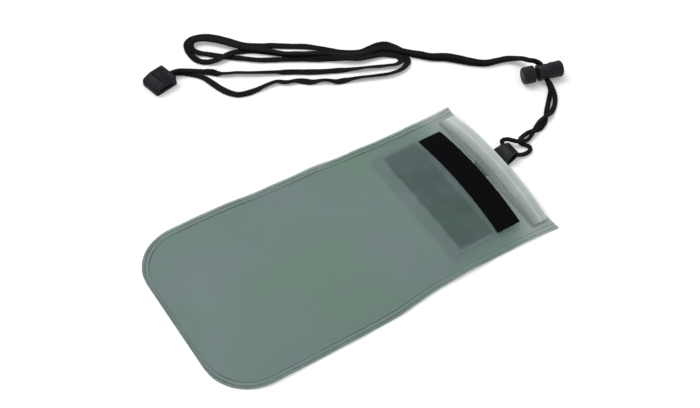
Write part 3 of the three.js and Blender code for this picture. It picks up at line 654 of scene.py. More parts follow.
class Bench:
    """Modelling steps as done by hand."""

    @staticmethod
    def clear() -> None:
        """Leaves edit mode and deselects everything."""
        if bpy.context.object and bpy.context.object.mode != "OBJECT":
            bpy.ops.object.mode_set(mode="OBJECT")
        bpy.ops.object.select_all(action="DESELECT")

    @staticmethod
    def take(piece: bpy.types.Object) -> None:
        """Makes a piece the only selected one.

        Args:
            piece: The piece to work on.
        """
        Bench.clear()
        piece.select_set(True)
        bpy.context.view_layer.objects.active = piece

    @staticmethod
    def primitive(add: Callable[..., Any], name: str, **settings: Any) -> bpy.types.Object:
        """Adds a primitive at its place.

        Args:
            add: The operator that adds it.
            name: The new piece's name.
            settings: The operator's settings.

        Returns:
            The new piece.
        """
        Bench.clear()
        add(**settings)
        piece = bpy.context.object
        piece.name = name
        bpy.ops.object.transform_apply(location=True, rotation=True, scale=True)
        return piece

    @staticmethod
    def box(name: str, middle: Point, sizes: Point) -> bpy.types.Object:
        """Adds a box from its middle and its three sizes in millimetres."""
        place, scale = shade(middle, MM), shade(sizes, MM)
        return Bench.primitive(bpy.ops.mesh.primitive_cube_add, name, size=1.0, location=place, scale=scale)

    @staticmethod
    def link(name: str, data: Any) -> bpy.types.Object:
        """Puts a mesh, camera or lamp into the scene as an object.

        Args:
            name: The object's name.
            data: What it holds.

        Returns:
            The object.
        """
        piece = bpy.data.objects.new(name, data)
        bpy.context.scene.collection.objects.link(piece)
        return piece

    @staticmethod
    def edit(piece: bpy.types.Object, kind: str = "FACE") -> None:
        """Opens a piece in edit mode with nothing selected.

        Args:
            piece: The piece to open.
            kind: What is selected in it: VERT, EDGE or FACE.
        """
        Bench.take(piece)
        bpy.ops.object.mode_set(mode="EDIT")
        bpy.ops.mesh.select_mode(type=kind)
        bpy.ops.mesh.select_all(action="DESELECT")

    @staticmethod
    def close() -> None:
        """Leaves edit mode."""
        bpy.ops.object.mode_set(mode="OBJECT")

    @staticmethod
    def slice(axis: int, place: float) -> None:
        """Cuts the open piece across one axis, at a place in millimetres."""
        way = tuple(float(axis == other) for other in range(3))
        bpy.ops.mesh.select_all(action="SELECT")
        bpy.ops.mesh.bisect(plane_co=shade(way, place * MM), plane_no=way)

    @staticmethod
    def draw_out(x: float, y: float, z: float) -> None:
        """Extrudes what is selected by a move in millimetres."""
        bpy.ops.mesh.extrude_region_move(TRANSFORM_OT_translate={"value": (x * MM, y * MM, z * MM)})

    @staticmethod
    def pick_faces(piece: bpy.types.Object, wanted: Callable[[Vector, Vector], bool]) -> None:
        """Selects the faces that a test wants.

        Args:
            piece: The piece, open in edit mode.
            wanted: Takes a face's middle in millimetres and its normal.
        """
        mesh = bmesh.from_edit_mesh(piece.data)
        for face in mesh.faces:
            face.select_set(wanted(face.calc_center_median() / MM, face.normal))
        mesh.select_flush_mode()
        bmesh.update_edit_mesh(piece.data)

    @staticmethod
    def pick_edges(piece: bpy.types.Object, wanted: Callable[[Vector, Vector], bool]) -> None:
        """Selects the edges that a test wants.

        Args:
            piece: The piece, open in edit mode.
            wanted: Takes an edge's two ends in millimetres.
        """
        mesh = bmesh.from_edit_mesh(piece.data)
        for edge in mesh.edges:
            edge.select_set(wanted(edge.verts[0].co / MM, edge.verts[1].co / MM))
        mesh.select_flush_mode()
        bmesh.update_edit_mesh(piece.data)

    @staticmethod
    def round_edges(
        piece: bpy.types.Object, wanted: Callable[[Vector, Vector], bool], radius: float, segments: int = 6
    ) -> None:
        """Opens a piece in edit mode and rounds the edges that a test wants.

        Args:
            piece: The piece.
            wanted: Takes an edge's two ends in millimetres.
            radius: The radius in millimetres.
            segments: How many flats make the round.
        """
        Bench.edit(piece, "EDGE")
        Bench.pick_edges(piece, wanted)
        bpy.ops.mesh.bevel(offset=radius * MM, segments=segments)

    @staticmethod
    def modify(piece: bpy.types.Object, kind: str, **settings: Any) -> None:
        """Adds a modifier and applies it.

        Args:
            piece: The piece.
            kind: The modifier's type.
            settings: Its settings.
        """
        Bench.take(piece)
        modifier = piece.modifiers.new(kind.title(), kind)
        for name, value in settings.items():
            setattr(modifier, name, value)
        bpy.ops.object.modifier_apply(modifier=modifier.name)

    @staticmethod
    def soften(piece: bpy.types.Object, width: float, angle: float = 30.0) -> None:
        """Bevels edges sharper than an angle in degrees, by a width in millimetres."""
        limits = {"limit_method": "ANGLE", "angle_limit": math.radians(angle)}
        Bench.modify(piece, "BEVEL", width=width * MM, segments=2, **limits)

    @staticmethod
    def join(piece: bpy.types.Object, others: Iterable[bpy.types.Object]) -> None:
        """Joins other pieces into one."""
        Bench.take(piece)
        for other in others:
            other.select_set(True)
        bpy.ops.object.join()

    @staticmethod
    def cut(piece: bpy.types.Object, cutter: bpy.types.Object) -> None:
        """Cuts one piece out of another and removes the cutter."""
        Bench.modify(piece, "BOOLEAN", operation="DIFFERENCE", object=cutter, solver="EXACT")
        bpy.data.objects.remove(cutter)

    @staticmethod
    def place(piece: bpy.types.Object, matrix: Matrix) -> None:
        """Moves a piece's mesh by a matrix in metres, its object staying at the origin."""
        piece.data.transform(matrix)
        piece.data.update()

    @staticmethod
    def smooth(piece: bpy.types.Object, angle: float = 35.0) -> None:
        """Shades a piece smooth, apart from its sharp edges.

        Args:
            piece: The piece.
            angle: The angle in degrees from which an edge is sharp.
        """
        Bench.take(piece)
        bpy.ops.object.shade_smooth_by_angle(angle=math.radians(angle))
        Bench.clear()

    @staticmethod
    def hand_over(
        piece: bpy.types.Object,
        material: bpy.types.Material,
        nodes: Sequence[str],
        body: Body = Body.POUCH,
    ) -> bpy.types.Object:
        """Gives a finished piece its material and body, and hides the CAD nodes that it stands for.

        Args:
            piece: The finished piece.
            material: Its material.
            nodes: The CAD nodes that it stands for.
            body: The body that it rides on.

        Returns:
            The piece.
        """
        piece.data.materials.clear()
        piece.data.materials.append(material)
        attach(piece, body.value)
        if nodes:
            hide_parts(*nodes)
        triangles = sum(len(face.vertices) - 2 for face in piece.data.polygons)
        LOG.info("%s: %d triangles", piece.name, triangles)
        return piece


def plan_point(x: float, y: float, z: float) -> Vector:
    """Turns millimetres from the bottom edge into the shared frame in metres."""
    return Vector((x * MM, (y + POUCH_START) * MM, z * MM))


@dataclass
class PouchForm:
    """Plan outline and heights of the two films.

    The sides and the swell are pairs of place and size. A crease has two ends, a depth and a width.
    """

    length: float = 200.0
    seam: float = 5.0
    corner: float = 26.0
    film: float = 0.3
    seam_top: float = 0.66
    right: Sequence[tuple[float, float]] = (
        (26, 56.2), (45, 56.1), (70, 55.7), (85, 55.4), (100, 54.9), (110, 53.6), (120, 52.2), (135, 51.3),
        (150, 50.9), (170, 50.6), (185, 50.9), (194, 51.3), (200, 51.8),
    )
    left: Sequence[tuple[float, float]] = (
        (26, 56.0), (40, 56.0), (60, 55.5), (80, 54.2), (95, 53.8), (110, 53.1), (130, 52.0), (150, 51.1),
        (170, 50.6), (185, 50.9), (194, 51.3), (200, 51.8),
    )
    swell: Sequence[tuple[float, float]] = (
        (5, 0.0), (8, 2.2), (12, 4.2), (17, 6.0), (23, 7.3), (30, 7.9), (45, 8.0), (130, 8.0), (150, 7.6),
        (166, 7.4), (182, 7.6), (190, 8.4), (200, 9.2),
    )
    crease_lines: Sequence[tuple[tuple[float, float], tuple[float, float], float, float]] = (
        ((-40, 24), (-6, 17), -0.5, 3.0), ((-6, 17), (34, 21), -0.45, 3.2), ((-30, 62), (-14, 78), 0.35, 2.6),
        ((30, 118), (36, 92), -0.3, 3.4), ((-36, 120), (-26, 92), 0.3, 3.6), ((8, 104), (26, 58), -0.25, 5.0),
    )
    patch_lift: float = 2.05
    tab_lift: float = 1.15
    edge_lift: float = 1.1

    @staticmethod
    def side(x: float) -> int:
        """1 right of the middle and -1 left of it."""
        return 1 if x >= 0 else -1

    def front_top(self, x: float, y: float) -> float:
        """The top of the front film near the mouth, where the sides run straight."""
        return self.front_height(x, y, self.half(y, self.side(x)) - self.seam)

    def half(self, y: float, side: int) -> float:
        """The outline's distance from the middle.

        Args:
            y: The height over the bottom edge.
            side: 1 for the right edge and -1 for the left.

        Returns:
            The distance in millimetres.
        """
        table = self.right if side > 0 else self.left
        wave = 0.35 * noise.noise(Vector((y / 14.0, side * 7.3, 1.7))) * smooth_step(26, 40, y)
        if y >= self.corner:
            return curve_through(table, y) + wave
        down = self.corner - y
        return table[0][1] - self.corner + math.sqrt(max(0.0, self.corner**2 - down**2)) + wave

    def outline(self, count: int = 420) -> np.ndarray:
        """Points along the welded edge, from mouth to mouth round the bottom.

        Args:
            count: How many points each side has.

        Returns:
            The points, one row each.
        """
        places = [self.length * (i / count) ** 1.6 for i in range(count + 1)]
        right = [(self.half(y, 1), y) for y in places]
        left = [(-self.half(y, -1), y) for y in places]
        floor = [(mix(left[0][0], right[0][0], i / 120), 0.0) for i in range(1, 120)]
        return np.array(left[::-1] + floor + right)

    def front_height(self, x: float, y: float, reach: float) -> float:
        """The top of the front film.

        Args:
            x: The place across the pouch.
            y: The height over the bottom edge.
            reach: The distance from the middle to the weld's inner edge.

        Returns:
            The height in millimetres.
        """
        part = min(1.0, abs(x) / max(reach, 1e-6))
        rise = curve_through(self.swell, y) * (1 - part * part) ** 0.8
        free = (1 - part**4) * smooth_step(6, 30, y) * (1 - smooth_step(150, 176, y))
        spot = Vector((x / 34.0, y / 46.0, 0.4))
        ripple = 0.75 * noise.noise(spot) + 0.28 * noise.noise(spot * 2.6 + Vector((3.1, 0.4, 1.9)))
        crease = self.creases(x, y)
        return self.seam_top + rise + free * (ripple + crease) - 0.25 * free

    def creases(self, x: float, y: float) -> float:
        """Shallow bent lines in the front film.

        Args:
            x: The place across the pouch.
            y: The height over the bottom edge.

        Returns:
            How far the film is pushed in or out.
        """
        total = 0.0
        for start, end, depth, width in self.crease_lines:
            run = Vector(end) - Vector(start)
            along = max(0.0, min(1.0, (Vector((x, y)) - Vector(start)).dot(run) / run.length_squared))
            away = (Vector((x, y)) - Vector(start) - run * along).length
            total += depth * math.exp(-((away / width) ** 2))
        return total

    def rear_height(self, x: float, y: float) -> float:
        """The top of the rear film, which climbs over the patch and the root of the tab.

        Args:
            x: The place across the pouch.
            y: The height over the bottom edge.

        Returns:
            The height in millimetres.
        """

        def climb(across: tuple[float, float], up: tuple[float, float], side: float, end: float) -> float:
            """How far a place is on the climb to one of them."""
            out_x = max(across[0] - x, x - across[1], 0.0) / side
            out_y = max(up[0] - y, y - up[1], 0.0) / end
            return 1 - smooth_step(0.0, 1.0, math.hypot(out_x, out_y))

        edge = abs(x) / self.half(y, self.side(x))
        wave = 0.55 + noise.noise(Vector((y / 21.0, 3.7 if x >= 0 else 9.2, 0.6)))
        curl = self.edge_lift * wave * smooth_step(0.86, 1.0, edge) * smooth_step(2, 24, y)
        patch = self.patch_lift * climb((-38.3, 38.3), (142.2, 168.8), 7.2, 9.0)
        tab = self.tab_lift * climb((-11.2, 3.2), (187.2, 215.0), 8.0, 9.0)
        return self.film + 0.02 + max(patch, tab, curl)


@dataclass
class Films:
    """The front and rear film, welded on three sides."""

    form: PouchForm = field(default_factory=PouchForm)
    columns: int = 112
    rows: int = 176
    mouth_rise: float = 1.4
    mouth_dip: float = 1.2

    def build(self) -> list[bpy.types.Object]:
        """Makes both films.

        Returns:
            The front and the rear film.
        """
        front = self.sheet("front_sheet", self.front_point)
        rear = self.sheet("rear_sheet", self.rear_point)
        clear = FilmFinish("smoked_film_front", (0.17, 0.215, 0.24), (0.135, 0.23, 0.185), 0.22)
        dark = FilmFinish("smoked_film_rear", (0.125, 0.25, 0.21), (0.1, 0.26, 0.165), 0.45, patch_seen=True)
        Bench.hand_over(front, clear.build(), ["front_film"])
        Bench.hand_over(rear, dark.build(), ["rear_film"])
        return [front, rear]

    def reach(self, y: float, side: int) -> float:
        """The distance from the middle to the weld's inner edge.

        Args:
            y: The height over the bottom edge.
            side: 1 for the right edge and -1 for the left.

        Returns:
            The distance in millimetres.
        """
        form = self.form
        if y >= form.corner:
            return form.half(y, side) - form.seam
        inner = form.corner - form.seam
        down = min(form.corner - y, inner)
        table = form.right if side > 0 else form.left
        return table[0][1] - form.corner + math.sqrt(max(0.0, inner**2 - down**2))

    def front_point(self, x: float, y: float, edge: float) -> Vector:
        """A point of the front film's top.

        Args:
            x: The place across the pouch.
            y: The height over the bottom edge.
            edge: The distance to the film's edge.

        Returns:
            The point in metres.
        """
        form = self.form
        height = form.rear_height(x, y) + form.seam_top - form.film
        if min(y, edge) > form.seam:
            height = max(height, form.front_height(x, y, self.reach(y, form.side(x))))
        return plan_point(x, y, height)

    def rear_point(self, x: float, y: float, edge: float) -> Vector:
        """A point of the rear film's top."""
        return plan_point(x, y, self.form.rear_height(x, y))

    def sheet(self, name: str, point: Callable[[float, float, float], Vector]) -> bpy.types.Object:
        """Makes one film from a grid that is fitted into the outline.

        Args:
            name: The film's name.
            point: Gives the place of a point from its plan place and its distance to the edge.

        Returns:
            The film.
        """
        counts = {"x_subdivisions": self.columns, "y_subdivisions": self.rows}
        film = Bench.primitive(bpy.ops.mesh.primitive_grid_add, name, size=2.0, **counts)
        outline = self.form.outline()
        plan: list[tuple[float, float]] = []
        for vertex in film.data.vertices:
            across = math.sin(vertex.co.x * math.pi / 2) * 0.35 + vertex.co.x * 0.65
            up = (vertex.co.y + 1) / 2
            y = self.form.length * mix(up, up**2, 0.55)
            end = smooth_step(0.94, 1.0, up)
            dip = math.exp(-(((across * 51 + 4) / 14) ** 2))
            y += end * (self.mouth_rise * across**4 - self.mouth_dip * dip)
            plan.append((across * self.form.half(y, self.form.side(across)), y))
        places = np.array(plan)
        edges = np.empty(len(places))
        for start in range(0, len(places), 2000):
            part = places[start : start + 2000]
            edges[start : start + 2000] = np.sqrt(
                ((part[:, None, :] - outline[None, :, :]) ** 2).sum(axis=2).min(axis=1)
            )
        for vertex, (x, y), edge in zip(film.data.vertices, plan, edges):
            vertex.co = point(x, y, float(edge))
        self.map_seam(film, plan, edges)
        Bench.modify(film, "SOLIDIFY", thickness=self.form.film * MM, offset=-1.0, use_even_offset=True)
        Bench.smooth(film, 60.0)
        return film

    @staticmethod
    def map_seam(film: bpy.types.Object, plan: Sequence[tuple[float, float]], edges: np.ndarray) -> None:
        """Writes each corner's distance to the edge into the film's own map.

        Args:
            film: The film.
            plan: The plan place of each point.
            edges: The distance of each point to the edge.
        """
        while film.data.uv_layers:
            film.data.uv_layers.remove(film.data.uv_layers[0])
        layer = film.data.uv_layers.new(name="Seam")
        for loop in film.data.loops:
            x, y = plan[loop.vertex_index]
            pinch = mix(0.55, 1.0, max(smooth_step(4, 26, y), smooth_step(18, 46, abs(x))))
            layer.data[loop.index].uv = (edges[loop.vertex_index] / pinch / 100, y / 100)


@dataclass
class PressSeal:
    """The two strips of the press seal, inside the mouth."""

    form: PouchForm
    width: float = 9.2
    start: float = 190.0
    base: float = 0.45
    rib: float = 0.5
    rib_width: float = 0.7
    reach: float = 44.0
    steps: int = 72

    def build(self) -> list[bpy.types.Object]:
        """Makes the ribbed and the grooved strip.

        Returns:
            Both strips.
        """
        milky = MilkyFinish("milky_seal", (0.66, 0.71, 0.69), (0.93, 0.94, 0.93), 0.93).build()
        under = self.strip("press_ribs", (5.0, 6.9), self.below_front, -1.0)
        over = self.strip("press_grooves", (4.1, 5.95, 7.8), self.above_rear, 1.0)
        Bench.hand_over(under, milky, ["seal_ribs"])
        Bench.hand_over(over, milky, ["seal_grooves"])
        return [under, over]

    def below_front(self, x: float, y: float) -> float:
        """The height of the strip's back under the front film."""
        return self.form.front_top(x, y) - self.form.film - 0.1

    def above_rear(self, x: float, y: float) -> float:
        """The height of the strip's back on the rear film."""
        return self.form.rear_height(x, y) + 0.08

    def strip(
        self, name: str, ribs: Sequence[float], back: Callable[[float, float], float], way: float
    ) -> bpy.types.Object:
        """Models a flat bar, draws its ribs out of it, and bends it to the film.

        Args:
            name: The strip's name.
            ribs: The places of the ribs across the strip.
            back: The height of the strip's back at a place.
            way: 1 where the ribs point up, and -1 where they point down.

        Returns:
            The strip.
        """
        middle = (0, self.start + self.width / 2, self.base / 2)
        strip = Bench.box(name, middle, (2 * self.reach, self.width, self.base))
        Bench.edit(strip)
        for step in range(1, self.steps):
            Bench.slice(0, mix(-self.reach, self.reach, step / self.steps))
        for rib in ribs:
            for side in (-0.5, 0.5):
                Bench.slice(1, self.start + rib + side * self.rib_width)

        def on_rib(middle: Vector, normal: Vector) -> bool:
            """Whether a face is the top of a rib."""
            near = any(abs(middle.y - self.start - rib) < self.rib_width / 2 for rib in ribs)
            return normal.z > 0.9 and near

        Bench.pick_faces(strip, on_rib)
        Bench.draw_out(0, 0, self.rib)
        Bench.close()
        for vertex in strip.data.vertices:
            x, y, height = vertex.co / MM
            vertex.co = plan_point(x, y, back(x, y) + way * height)
        if way < 0:
            strip.data.flip_normals()
        Bench.smooth(strip, 30.0)
        return strip


@dataclass
class HookStrip:
    """Hook tape across the front film: a woven ground and rows of nylon hooks."""

    form: PouchForm
    middle: float = 2.0
    half_length: float = 37.5
    start: float = 170.3
    width: float = 14.0
    ground: float = 0.9
    hook_steps: Sequence[Point] = ((0.05, 0, 0.22), (0.16, 0, 0.12), (0.18, 0, -0.08))
    pitch: float = 1.25

    def build(self) -> bpy.types.Object:
        """Makes the tape with its hooks.

        Returns:
            The tape.
        """
        tape = Bench.primitive(
            bpy.ops.mesh.primitive_grid_add, "hook_tape", x_subdivisions=110, y_subdivisions=22, size=2.0
        )
        for vertex in tape.data.vertices:
            x = self.middle + vertex.co.x * self.half_length
            y = self.start + self.width * (vertex.co.y + 1) / 2
            if abs(vertex.co.y) > 0.99:
                y += 0.28 * noise.noise(Vector((x / 1.6, vertex.co.y * 3.0, 0.0)))
            if abs(vertex.co.x) > 0.99:
                x += 0.3 * noise.noise(Vector((y / 1.5, vertex.co.x * 5.0, 4.0)))
            vertex.co = plan_point(x, y, self.top(x, y))
        Bench.modify(tape, "SOLIDIFY", thickness=self.ground * MM, offset=-1.0)
        self.add_hooks(tape)
        Bench.smooth(tape, 50.0)
        finish = TapeFinish("hook_tape_black", (0.0036, 0.0036, 0.0048), 0.8, 0.5)
        return Bench.hand_over(tape, finish.build(), ["hook_strip"])

    def top(self, x: float, y: float) -> float:
        """The height of the tape's ground over the film."""
        return self.form.front_top(x, y) + 0.06 + self.ground

    def add_hooks(self, tape: bpy.types.Object) -> None:
        """Models one hook, and copies it in rows over the tape.

        Args:
            tape: The tape's ground.
        """
        hook = Bench.primitive(
            bpy.ops.mesh.primitive_cylinder_add,
            "hook",
            vertices=4,
            radius=0.17 * MM,
            depth=0.36 * MM,
            location=(0, 0, 0.12 * MM),
        )
        Bench.edit(hook)
        Bench.pick_faces(hook, lambda middle, normal: normal.z > 0.9)
        for shift in self.hook_steps:
            Bench.draw_out(*shift)
            bpy.ops.transform.resize(value=(0.86, 0.86, 0.86))
        Bench.close()
        copies = []
        rows = int(self.width / self.pitch)
        columns = int(2 * self.half_length / self.pitch)
        for row in range(rows):
            for column in range(columns):
                x = self.middle - self.half_length + (column + 0.5 + 0.25 * (row % 2)) * self.pitch
                y = self.start + (row + 0.6) * self.pitch
                spin = noise.noise(Vector((x * 1.7, y * 1.3, 2.0))) * 2.5 + (math.pi if row % 2 else 0.0)
                place = Matrix.Translation(plan_point(x, y, self.top(x, y)))
                copies.append(Bench.link("hook_copy", hook.data.copy()))
                copies[-1].data.transform(place @ Matrix.Rotation(spin, 4, "Z"))
        bpy.data.objects.remove(hook)
        Bench.join(tape, copies)


@dataclass
class LoopPatch:
    """Loop pile on its backing sheet, under the rear film."""

    half_length: float = 37.5
    start: float = 143.0
    width: float = 25.0
    corner: float = 3.0
    backing: float = 0.5
    pile: float = 1.2
    pile_start: float = 149.5
    pile_width: float = 17.5
    pile_half: float = 36.5

    def build(self) -> list[bpy.types.Object]:
        """Makes the patch.

        Returns:
            The patch.
        """
        backing = self.plate()
        pile = Bench.primitive(
            bpy.ops.mesh.primitive_grid_add, "loop_pile", x_subdivisions=120, y_subdivisions=34, size=2.0
        )
        for vertex in pile.data.vertices:
            x = vertex.co.x * self.pile_half
            y = self.pile_start + self.pile_width * (vertex.co.y + 1) / 2
            edge = min(1 - abs(vertex.co.x), 1 - abs(vertex.co.y))
            tuft = 0.22 * (0.5 + noise.noise(Vector((x * 0.9, y * 0.9, 8.0)))) if edge > 0.01 else 0.5
            vertex.co = plan_point(x, y, tuft)
        pile.data.flip_normals()
        Bench.modify(pile, "SOLIDIFY", thickness=(self.pile + 0.1) * MM, offset=-1.0)
        Bench.join(pile, [backing])
        pile.name = "loop_pile_patch"
        Bench.smooth(pile, 60.0)
        finish = TapeFinish("loop_pile_black", (0.012, 0.014, 0.018), 0.7, 0.9)
        Bench.hand_over(pile, finish.build(), ["loop_patch"])
        return [pile]

    def plate(self) -> bpy.types.Object:
        """Models the backing, a thin plate with rounded corners.

        Returns:
            The plate.
        """
        middle = (0, self.start + self.width / 2 + POUCH_START, self.pile + self.backing / 2)
        plate = Bench.box("patch_backing", middle, (2 * self.half_length, self.width, self.backing))
        Bench.round_edges(plate, lambda a, b: abs(a.z - b.z) > self.backing / 2, self.corner)
        Bench.close()
        Bench.soften(plate, 0.12)
        return plate


@dataclass
class HangingTab:
    """A vinyl strip folded into a loop behind the mouth."""

    middle: float = -4.0
    root_width: float = 13.4
    tip_width: float = 8.0
    strip: float = 0.75
    route: Sequence[tuple[float, float]] = (
        (188.3, 0.0), (194.0, 0.0), (200.0, 0.0), (204.0, 0.0), (207.2, 0.05), (209.6, 0.2), (211.0, 0.8),
        (211.9, 1.8), (212.1, 2.9), (211.5, 3.9), (210.2, 4.6), (208.4, 4.5), (206.5, 3.8), (204.8, 2.9),
        (203.3, 1.9), (202.0, 1.05), (200.9, 0.82),
    )

    def build(self) -> bpy.types.Object:
        """Draws the strip out along its fold and gives it its thickness.

        Returns:
            The tab.
        """
        tab = Bench.primitive(bpy.ops.mesh.primitive_plane_add, "vinyl_tab", size=1.0)
        Bench.edit(tab, "VERT")
        bpy.ops.mesh.select_all(action="SELECT")
        bpy.ops.mesh.delete(type="ONLY_FACE")
        Bench.close()
        Bench.edit(tab, "EDGE")
        Bench.pick_edges(tab, lambda a, b: a.y > 0 or b.y > 0)
        bpy.ops.mesh.delete(type="EDGE")
        bpy.ops.mesh.select_mode(type="VERT")
        bpy.ops.mesh.select_all(action="SELECT")
        Bench.close()
        self.lay_edge(tab)
        here = self.route[0]
        Bench.edit(tab, "EDGE")
        bpy.ops.mesh.select_all(action="SELECT")
        for there in self.route[1:]:
            Bench.draw_out(0, there[0] - here[0], there[1] - here[1])
            here = there
        Bench.close()
        self.narrow(tab)
        Bench.modify(tab, "SUBSURF", levels=2, render_levels=2)
        Bench.modify(tab, "SOLIDIFY", thickness=self.strip * MM, offset=1.0)
        Bench.soften(tab, 0.14)
        self.rest(tab)
        Bench.smooth(tab, 45.0)
        vinyl = VinylFinish("black_vinyl", (0.0038, 0.0043, 0.0048))
        return Bench.hand_over(tab, vinyl.build(), ["hanging_tab"])

    def lay_edge(self, tab: bpy.types.Object) -> None:
        """Lays the first edge across the root."""
        for vertex in tab.data.vertices:
            side = 1 if vertex.co.x > 0 else -1
            y, z = self.route[0]
            vertex.co = plan_point(self.middle + side * self.root_width / 2, y, z)

    def narrow(self, tab: bpy.types.Object) -> None:
        """Narrows the strip towards the loop, where the cord gathers it."""
        for vertex in tab.data.vertices:
            x = vertex.co.x / MM - self.middle
            y = vertex.co.y / MM - POUCH_START
            width = mix(self.root_width, self.tip_width, smooth_step(199, 213, y))
            vertex.co.x = (self.middle + x * width / self.root_width) * MM

    @staticmethod
    def rest(tab: bpy.types.Object) -> None:
        """Sets the finished strip down on the surface."""
        low = min(vertex.co.z for vertex in tab.data.vertices)
        Bench.place(tab, Matrix.Translation((0, 0, -low)))


@dataclass
class Strand:
    """One half of the neck cord, from the tab to the clip.

    A point has no height where the cord lies on the surface. Widths and turns are pairs of place and
    size, where the place is the distance along the cord from the tab.
    """

    name: str
    node: str
    points: Sequence[tuple[float, ...]]
    widths: Sequence[tuple[float, float]]
    turns: Sequence[tuple[float, float]]
    length: float
    seed: float
    ring: float = 0.45
    sides: int = 14
    yarn: float = 1.8
    bulk: float = 4.6
    restless: float = 11.0
    lying: float = 0.8

    def build(self, material: bpy.types.Material, carried: Sequence[bpy.types.Object]) -> bpy.types.Object:
        """Args:
            material: The braid's material.
            carried: The pieces that hang on the cord; not used.

        Returns:
            The strand.
        """
        line = self.centreline()
        cord = self.tube(line)
        Bench.hand_over(cord, material, [self.node])
        return cord

    def centreline(self) -> list[Vector]:
        """Follows the chosen points in short even steps.

        Returns:
            The ring centres in millimetres.
        """
        points = [Vector((*point, self.lying)[:3]) for point in self.points]
        last = len(points) - 1
        fine: list[Vector] = []
        for i in range(last):
            p0, p1, p2, p3 = points[max(i - 1, 0)], points[i], points[i + 1], points[min(i + 2, last)]
            count = max(8, int((p2 - p1).length / 0.1))
            fine += [self.between(p0, p1, p2, p3, step / count) for step in range(count)]
        fine.append(points[last])
        walked = [0.0]
        for here, there in zip(fine, fine[1:]):
            walked.append(walked[-1] + (there - here).length)
        rings = int(walked[-1] / self.ring)
        places = np.linspace(0.0, walked[-1], rings + 1)
        sides = [np.interp(places, walked, [point[axis] for point in fine]) for axis in range(3)]
        return [Vector(spot) for spot in zip(*sides)]

    @staticmethod
    def between(p0: Vector, p1: Vector, p2: Vector, p3: Vector, part: float) -> Vector:
        """A point of the smooth curve between the second and third of four points.

        Args:
            p0: The point before.
            p1: The start.
            p2: The end.
            p3: The point after.
            part: How far along, from 0 to 1.

        Returns:
            The point.
        """
        gap0 = max((p1 - p0).length, 1e-4) ** 0.5
        gap1 = max((p2 - p1).length, 1e-4) ** 0.5
        gap2 = max((p3 - p2).length, 1e-4) ** 0.5
        if (p1 - p0).length < 1e-6:
            gap0 = gap1
        if (p3 - p2).length < 1e-6:
            gap2 = gap1
        m1 = ((p1 - p0) / gap0 - (p2 - p0) / (gap0 + gap1) + (p2 - p1) / gap1) * gap1
        m2 = ((p2 - p1) / gap1 - (p3 - p1) / (gap1 + gap2) + (p3 - p2) / gap2) * gap1
        return ease(p1, m1, p2, m2, part)

    def section(self, along: float) -> tuple[float, float, float]:
        """The cord's width, thickness and turn at a place along it.

        Args:
            along: The place along the cord.

        Returns:
            The width and the thickness in millimetres and the turn in degrees.
        """
        width = curve_through(self.widths, along)
        drift = noise.noise(Vector((along / 9.0, self.seed, 0.3)))
        calm = smooth_step(76, 70, along) + smooth_step(104, 116, along)
        turn = curve_through(self.turns, along) + self.restless * drift * calm
        width *= 1 + 0.07 * noise.noise(Vector((along / 4.0, self.seed, 5.3)))
        return width, self.bulk / width, turn

    def tube(self, line: Sequence[Vector]) -> bpy.types.Object:
        """Makes the braid along its centreline.

        Args:
            line: The ring centres in millimetres.

        Returns:
            The strand.
        """
        mesh = bmesh.new()
        layer = mesh.loops.layers.uv.new("Braid")
        rings: list[list[bmesh.types.BMVert]] = []
        along = [0.0]
        for i, centre in enumerate(line):
            if i:
                along.append(along[-1] + (centre - line[i - 1]).length)
            tangent = (line[min(i + 1, len(line) - 1)] - line[max(i - 1, 0)]).normalized()
            width, thick, turn = self.section(along[-1])
            side = Vector((0, 0, 1)).cross(tangent).normalized()
            side = Matrix.Rotation(math.radians(turn), 3, tangent) @ side
            up = tangent.cross(side)
            lift = abs(side.z) * width / 2 + abs(up.z) * thick / 2
            middle = Vector((centre.x, centre.y, max(centre.z, lift * 0.94)))
            rings.append(self.ring_of(mesh, middle, side * width / 2, up * thick / 2, along[-1]))
        for i in range(len(rings) - 1):
            for k in range(self.sides):
                after = (k + 1) % self.sides
                face = mesh.faces.new((rings[i][k], rings[i][after], rings[i + 1][after], rings[i + 1][k]))
                face.smooth = True
                spots = ((i, k), (i, k + 1), (i + 1, k + 1), (i + 1, k))
                for loop, (ring_index, step) in zip(face.loops, spots):
                    loop[layer].uv = (along[ring_index] / 100, step / self.sides)
        mesh.faces.new(rings[0][::-1])
        mesh.faces.new(rings[-1])
        bmesh.ops.recalc_face_normals(mesh, faces=mesh.faces)
        data = bpy.data.meshes.new(self.name)
        mesh.to_mesh(data)
        mesh.free()
        return Bench.link(self.name, data)

    def ring_of(
        self, mesh: bmesh.types.BMesh, middle: Vector, side: Vector, up: Vector, along: float
    ) -> list[bmesh.types.BMVert]:
        """Adds one ring of the braid, whose edges swell where a yarn turns over.

        Args:
            mesh: The braid's mesh.
            middle: The ring's middle.
            side: From the middle to its edge.
            up: From the middle to its top.
            along: The place along the cord.

        Returns:
            The ring's points.
        """
        ring = []
        wave = math.sin(2 * math.pi * along / self.yarn)
        for k in range(self.sides):
            angle = 2 * math.pi * k / self.sides
            across = math.copysign(abs(math.cos(angle)) ** 0.75, math.cos(angle))
            high = math.copysign(abs(math.sin(angle)) ** 0.8, math.sin(angle))
            swell = 1 + 0.09 * wave * math.copysign(1, across) * abs(across) ** 2
            point = middle + side * across * swell + up * high * (1 + 0.06 * wave)
            point.z = max(point.z, 0.03)
            ring.append(mesh.verts.new(point * MM))
        return ring


